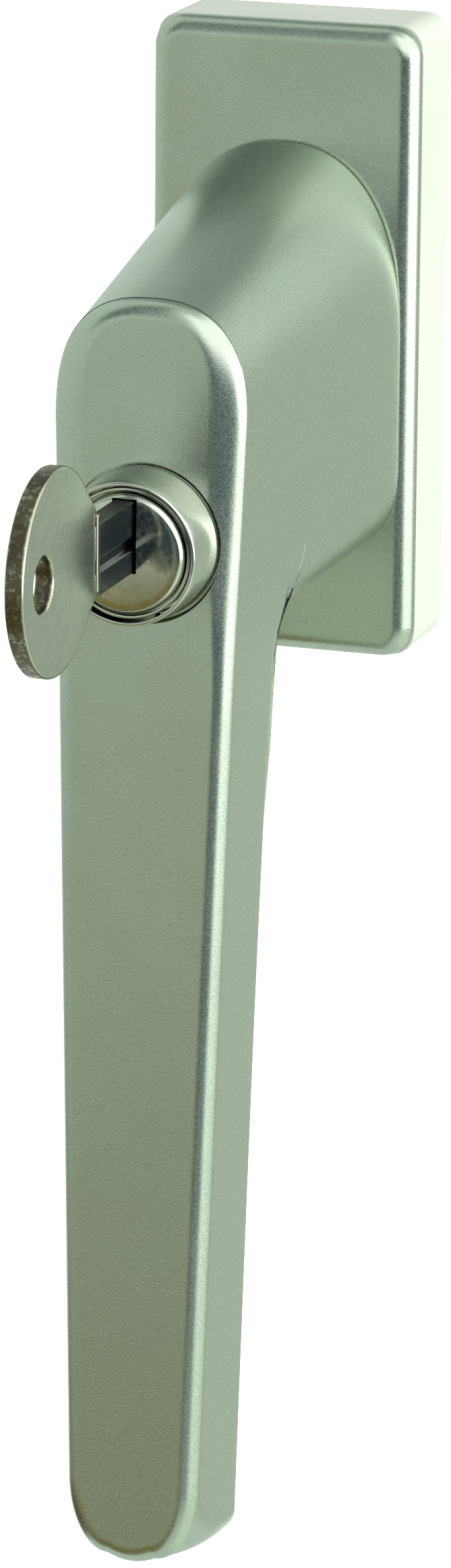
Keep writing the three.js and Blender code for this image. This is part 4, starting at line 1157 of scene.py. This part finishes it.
def lock_plug():
    """The plug has a slightly domed, polished face with a chamfer and an upright keyway."""
    groove_start, groove_end = (PLUG_BACK + along for along in CLIP_GROOVE)
    line = [
        (0, PLUG_BACK, 0),
        (PLUG_RADIUS, PLUG_BACK, 0),
        (PLUG_RADIUS, groove_start, 0),
        (PLUG_RADIUS - CLIP_GROOVE_DEPTH, groove_start, 0),
        (PLUG_RADIUS - CLIP_GROOVE_DEPTH, groove_end, 0),
        (PLUG_RADIUS, groove_end, 0),
        (PLUG_RADIUS, PLUG_FACE - 1.9, 0),
        (PLUG_FACE_RADIUS, PLUG_FACE - 1.9, 0),
        (PLUG_FACE_RADIUS, PLUG_FACE - 0.65, 0.1),
        (PLUG_FACE_RADIUS - 0.42, PLUG_FACE - 0.23, 0.1),
    ]
    for radius in spread(PLUG_DOME_RADIUS, 0, 9):
        line.append((radius, PLUG_FACE - 0.02 - PLUG_DOME * (radius / PLUG_DOME_RADIUS) ** 2, 0))
    plug = turned("lock_barrel", line, z=LOCK_Z, segments=128)
    combine(plug, [block(1.1, PLUG_TANG_BACK, PLUG_BACK + CUT, LOCK_Z - 3, LOCK_Z + 3)], "UNION")
    flange = PLUG_FACE - FLANGE
    low = BLADE_LOW - BORE_GAP
    high = BLADE_HIGH + BORE_GAP
    tools = [
        block(KEYWAY_HALF_WIDTH, BLADE_TIP - 0.4, flange, low, LOCK_Z + PLUG_RADIUS + CUT),
        block(KEYWAY_HALF_WIDTH, flange - CUT, PLUG_FACE + CUT, low, high),
    ]
    for depth in WAFER_DEPTHS:
        back = depth - WAFER_HALF_SLOT
        front = depth + WAFER_HALF_SLOT
        tools.append(block(2.4, back, front, LOCK_Z - 7, LOCK_Z + 7))
        tools.append(block(0.8, back, front, LOCK_Z - 4, LOCK_Z - 1.5, 3))
    combine(plug, tools)
    return place(plug, "plug", "bright_nickel", "lock_plug")


# ---- key


def bow_outline():
    """A disc that runs straight into the shoulder, in depth and height."""
    across = KEY_SHOULDER - BOW_Y
    ends = []
    for z, side in ((KEY_SHOULDER_HIGH, -1), (KEY_SHOULDER_LOW, 1)):
        distance = hypot(across, z - BOW_Z)
        ends.append(atan2(z - BOW_Z, across) % (2 * pi) + side * acos(BOW_RADIUS / distance))
    angles = spread(ends[0], ends[1] - 2 * pi, 120)
    outline = [(KEY_SHOULDER, KEY_SHOULDER_LOW), (KEY_SHOULDER, KEY_SHOULDER_HIGH)]
    return outline + [(BOW_Y + BOW_RADIUS * cos(a), BOW_Z + BOW_RADIUS * sin(a)) for a in angles]


def blade():
    """A grooved blade with cuts for the wafers in its lower edge."""
    side = BLADE_HALF_THICKNESS
    bottom = side - BLADE_GROOVE_DEPTH
    narrow, wide = BLADE_GROOVE_HALF_WIDTHS
    z = mix(BLADE_LOW, BLADE_HIGH, BLADE_GROOVE_RIGHT)
    outline = [(side, BLADE_LOW), (side, z - wide), (bottom, z - narrow)]
    outline += [(bottom, z + narrow), (side, z + wide), (side, BLADE_HIGH)]
    z = mix(BLADE_LOW, BLADE_HIGH, BLADE_GROOVE_LEFT)
    outline += [(-side, BLADE_HIGH), (-side, z + wide), (-bottom, z + narrow)]
    outline += [(-bottom, z - narrow), (-side, z - wide), (-side, BLADE_LOW)]
    ends = (BLADE_TIP, KEY_SHOULDER + 1)
    piece = loft("key_blade", [[(x, -depth, z) for x, z in outline] for depth in ends])
    tools = []
    for i, depth in enumerate(reversed(WAFER_DEPTHS)):
        roof = BLADE_LOW + 0.6 + 0.5 * (i % 3)
        below = BLADE_LOW - 0.5
        notch = [(depth - 1.6, below), (depth - 0.5, roof), (depth + 0.5, roof), (depth + 1.6, below)]
        tools.append(prism(notch, 2))
    before = BLADE_TIP - 1
    upper = [(before, BLADE_HIGH - 4.6), (BLADE_TIP + 2.6, BLADE_HIGH + 1), (before, BLADE_HIGH + 1)]
    lower = [(before, BLADE_LOW + 3.2), (before, BLADE_LOW - 1), (BLADE_TIP + 2, BLADE_LOW - 1)]
    tools += [prism(upper, 2), prism(lower, 2)]
    return combine(piece, tools)


def key():
    """A round bow with a ring hole, a ridge at the shoulder, and the blade."""
    bow = prism(bow_outline(), BOW_HALF_THICKNESS, "key_nickel_plated")
    combine(bow, [cross_rod(RING_HOLE_RADIUS, -5, 5, RING_HOLE_Y, RING_HOLE_Z, 72)])
    rounded(bow, 0.35)
    low = KEY_SHOULDER_LOW + 0.3
    high = KEY_SHOULDER_HIGH - 0.3
    ridge = block(BOW_HALF_THICKNESS + 0.22, KEY_SHOULDER - 0.1, KEY_SHOULDER + 0.7, low, high)
    combine(bow, [rounded(blade(), 0.12, 2), rounded(ridge, 0.2)], "UNION")
    return place(bow, "key", "bright_nickel", "key", KEY_NICKEL)


# ---- all the pieces

mounting_base()
rosette_cover()
fixing_screw("screw_upper", "fixing_screw_upper", SCREW_SPACING / 2)
fixing_screw("screw_lower", "fixing_screw_lower", -SCREW_SPACING / 2)
lever_handle()
spindle()
plain_pin("cross_pin", "spindle_pin", -10.4, 6.9, PIN_DEPTH, 0)
plain_pin("grub_screw", "housing_screw", -9.3, -7.5, HOUSING_SCREW_DEPTH, LOCK_Z, HOUSING_SCREW_SOCKET)
bolt_spring()
lock_bezel()
cylinder_housing()
lock_plug()
key()

# The inner CAD nodes stay as they are, each with the finish of its kind.
INNER_SLOTS = {
    "plated_steel": ["index_disc", "detent_ball_upper", "detent_ball_lower", "drive_cam", "lock_bolt"],
    "spring_steel": ["retaining_ring", "detent_spring_upper", "detent_spring_lower", "plug_clip"],
    "brass": [f"wafer_{i}" for i in range(1, 6)],
    "white_acetal": ["bearing_bush", "thrust_washer"],
}
for slot, names in INNER_SLOTS.items():
    for name in names:
        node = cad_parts[name]
        node.data.materials.clear()
        node.data.materials.append(MATERIALS[slot])

# ---- studio

CAMERA_PLACE = Vector((0.2165, -0.6906, 0.1487))
CAMERA_AZIMUTH = 18.14
CAMERA_ELEVATION = 15.52
CAMERA_ROLL = 0.46
CAMERA_LENS = 156.9
FLOOR_REACH = 12.0  # metres
FLOOR_DROP = 0.4


def camera():
    """A long lens that looks at the handle from above, on its right."""
    data = bpy.data.cameras.new("camera")
    data.lens = CAMERA_LENS
    data.sensor_width = 36
    data.clip_start = 0.05
    data.clip_end = 50
    obj = bpy.data.objects.new("camera", data)
    turn = Matrix.Rotation(radians(CAMERA_AZIMUTH), 4, "Z")
    tilt = Matrix.Rotation(radians(90 - CAMERA_ELEVATION), 4, "X")
    roll = Matrix.Rotation(radians(CAMERA_ROLL), 4, "Z")
    obj.matrix_world = Matrix.Translation(CAMERA_PLACE) @ turn @ tilt @ roll
    bpy.context.scene.collection.objects.link(obj)
    bpy.context.scene.camera = obj


def floor():
    """A plain white floor, well below the handle. Only the camera sees it."""
    reach = FLOOR_REACH
    level = CAD_LOW.z - FLOOR_DROP
    mesh = bpy.data.meshes.new("floor")
    corners = [(-reach, -reach), (reach, -reach), (reach, reach), (-reach, reach)]
    mesh.from_pydata([(x, y, level) for x, y in corners], [], [(0, 1, 2, 3)])
    obj = bpy.data.objects.new("floor", mesh)
    bpy.context.scene.collection.objects.link(obj)
    white = {"Base_Color": (0.9, 0.9, 0.9), "Roughness": 0.9}
    glow = {"Emission_Color": (1, 1, 1), "Emission_Strength": 1.0}
    mesh.materials.append(Surface("white_floor").finish(**white, **glow))
    obj.visible_glossy = False
    obj.visible_diffuse = False
    obj.visible_shadow = False


# The light of a room with a broad window on the right: each patch has a colour, an azimuth
# (0 in front of the handle, 90 on its right), half a width, an elevation, half a height and
# the softness of its edges, in degrees.
ROOM = (0.70, 0.80, 0.72)
PATCHES = {
    "window": ((1.8, 1.84, 1.8), 72, 64, 32, 32, 9),
    "window_foot": ((3.6, 3.7, 3.6), 88, 32, -1, 11, 5),
    "slate": ((0.05, 0.08, 0.11), 19, 27, -8, 12, 5),
    "lawn": ((0.9, 1.05, 0.86), 95, 50, -42, 20, 8),
    "hedge": ((0.56, 0.64, 0.55), 165, 36, -15, 18, 8),
    "yard": ((1.2, 1.3, 1.1), -160, 26, -20, 11, 6),
    "dark_wall": ((0.18, 0.22, 0.21), -33, 17, 46, 34, 9),
    "back_wall": ((0.30, 0.36, 0.32), 185, 40, 58, 24, 9),
    "olive": ((0.24, 0.21, 0.07), -25, 27, -35, 20, 7),
    "brown": ((0.14, 0.10, 0.05), -85, 33, -30, 12, 6),
}


def surroundings():
    """Soft patches of light round the handle, and plain white wherever the camera looks past it."""
    g = Graph(bpy.data.worlds.new("room"))
    x, y, z = g.add("ShaderNodeSeparateXYZ", {0: g.add("ShaderNodeTexCoord").outputs["Generated"]}).outputs
    azimuth = g.math("ARCTAN2", x, g.math("MULTIPLY", y, -1.0))
    elevation = g.math("DEGREES", g.math("ARCSINE", z))
    colour = ROOM
    for tone, middle, half_width, height, half_height, soft in PATCHES.values():
        turn = g.math("COSINE", g.math("SUBTRACT", azimuth, radians(middle)))
        across = g.math("DEGREES", g.math("ARCCOSINE", turn))
        up = g.math("ABSOLUTE", g.math("SUBTRACT", elevation, float(height)))
        sideways = g.ramp(across, half_width - soft, half_width + soft, 1.0, 0.0, smooth=True)
        upright = g.ramp(up, half_height - soft, half_height + soft, 1.0, 0.0, smooth=True)
        colour = g.blend(g.math("MULTIPLY", sideways, upright), colour, tone)
    seen = g.add("ShaderNodeLightPath").outputs["Is Camera Ray"]
    g.put(g.nodes["Background"].inputs["Color"], g.blend(seen, colour, (1, 1, 1)))
    bpy.context.scene.world = g.owner


camera()
floor()
surroundings()

bpy.context.scene.view_settings.view_transform = "Standard"
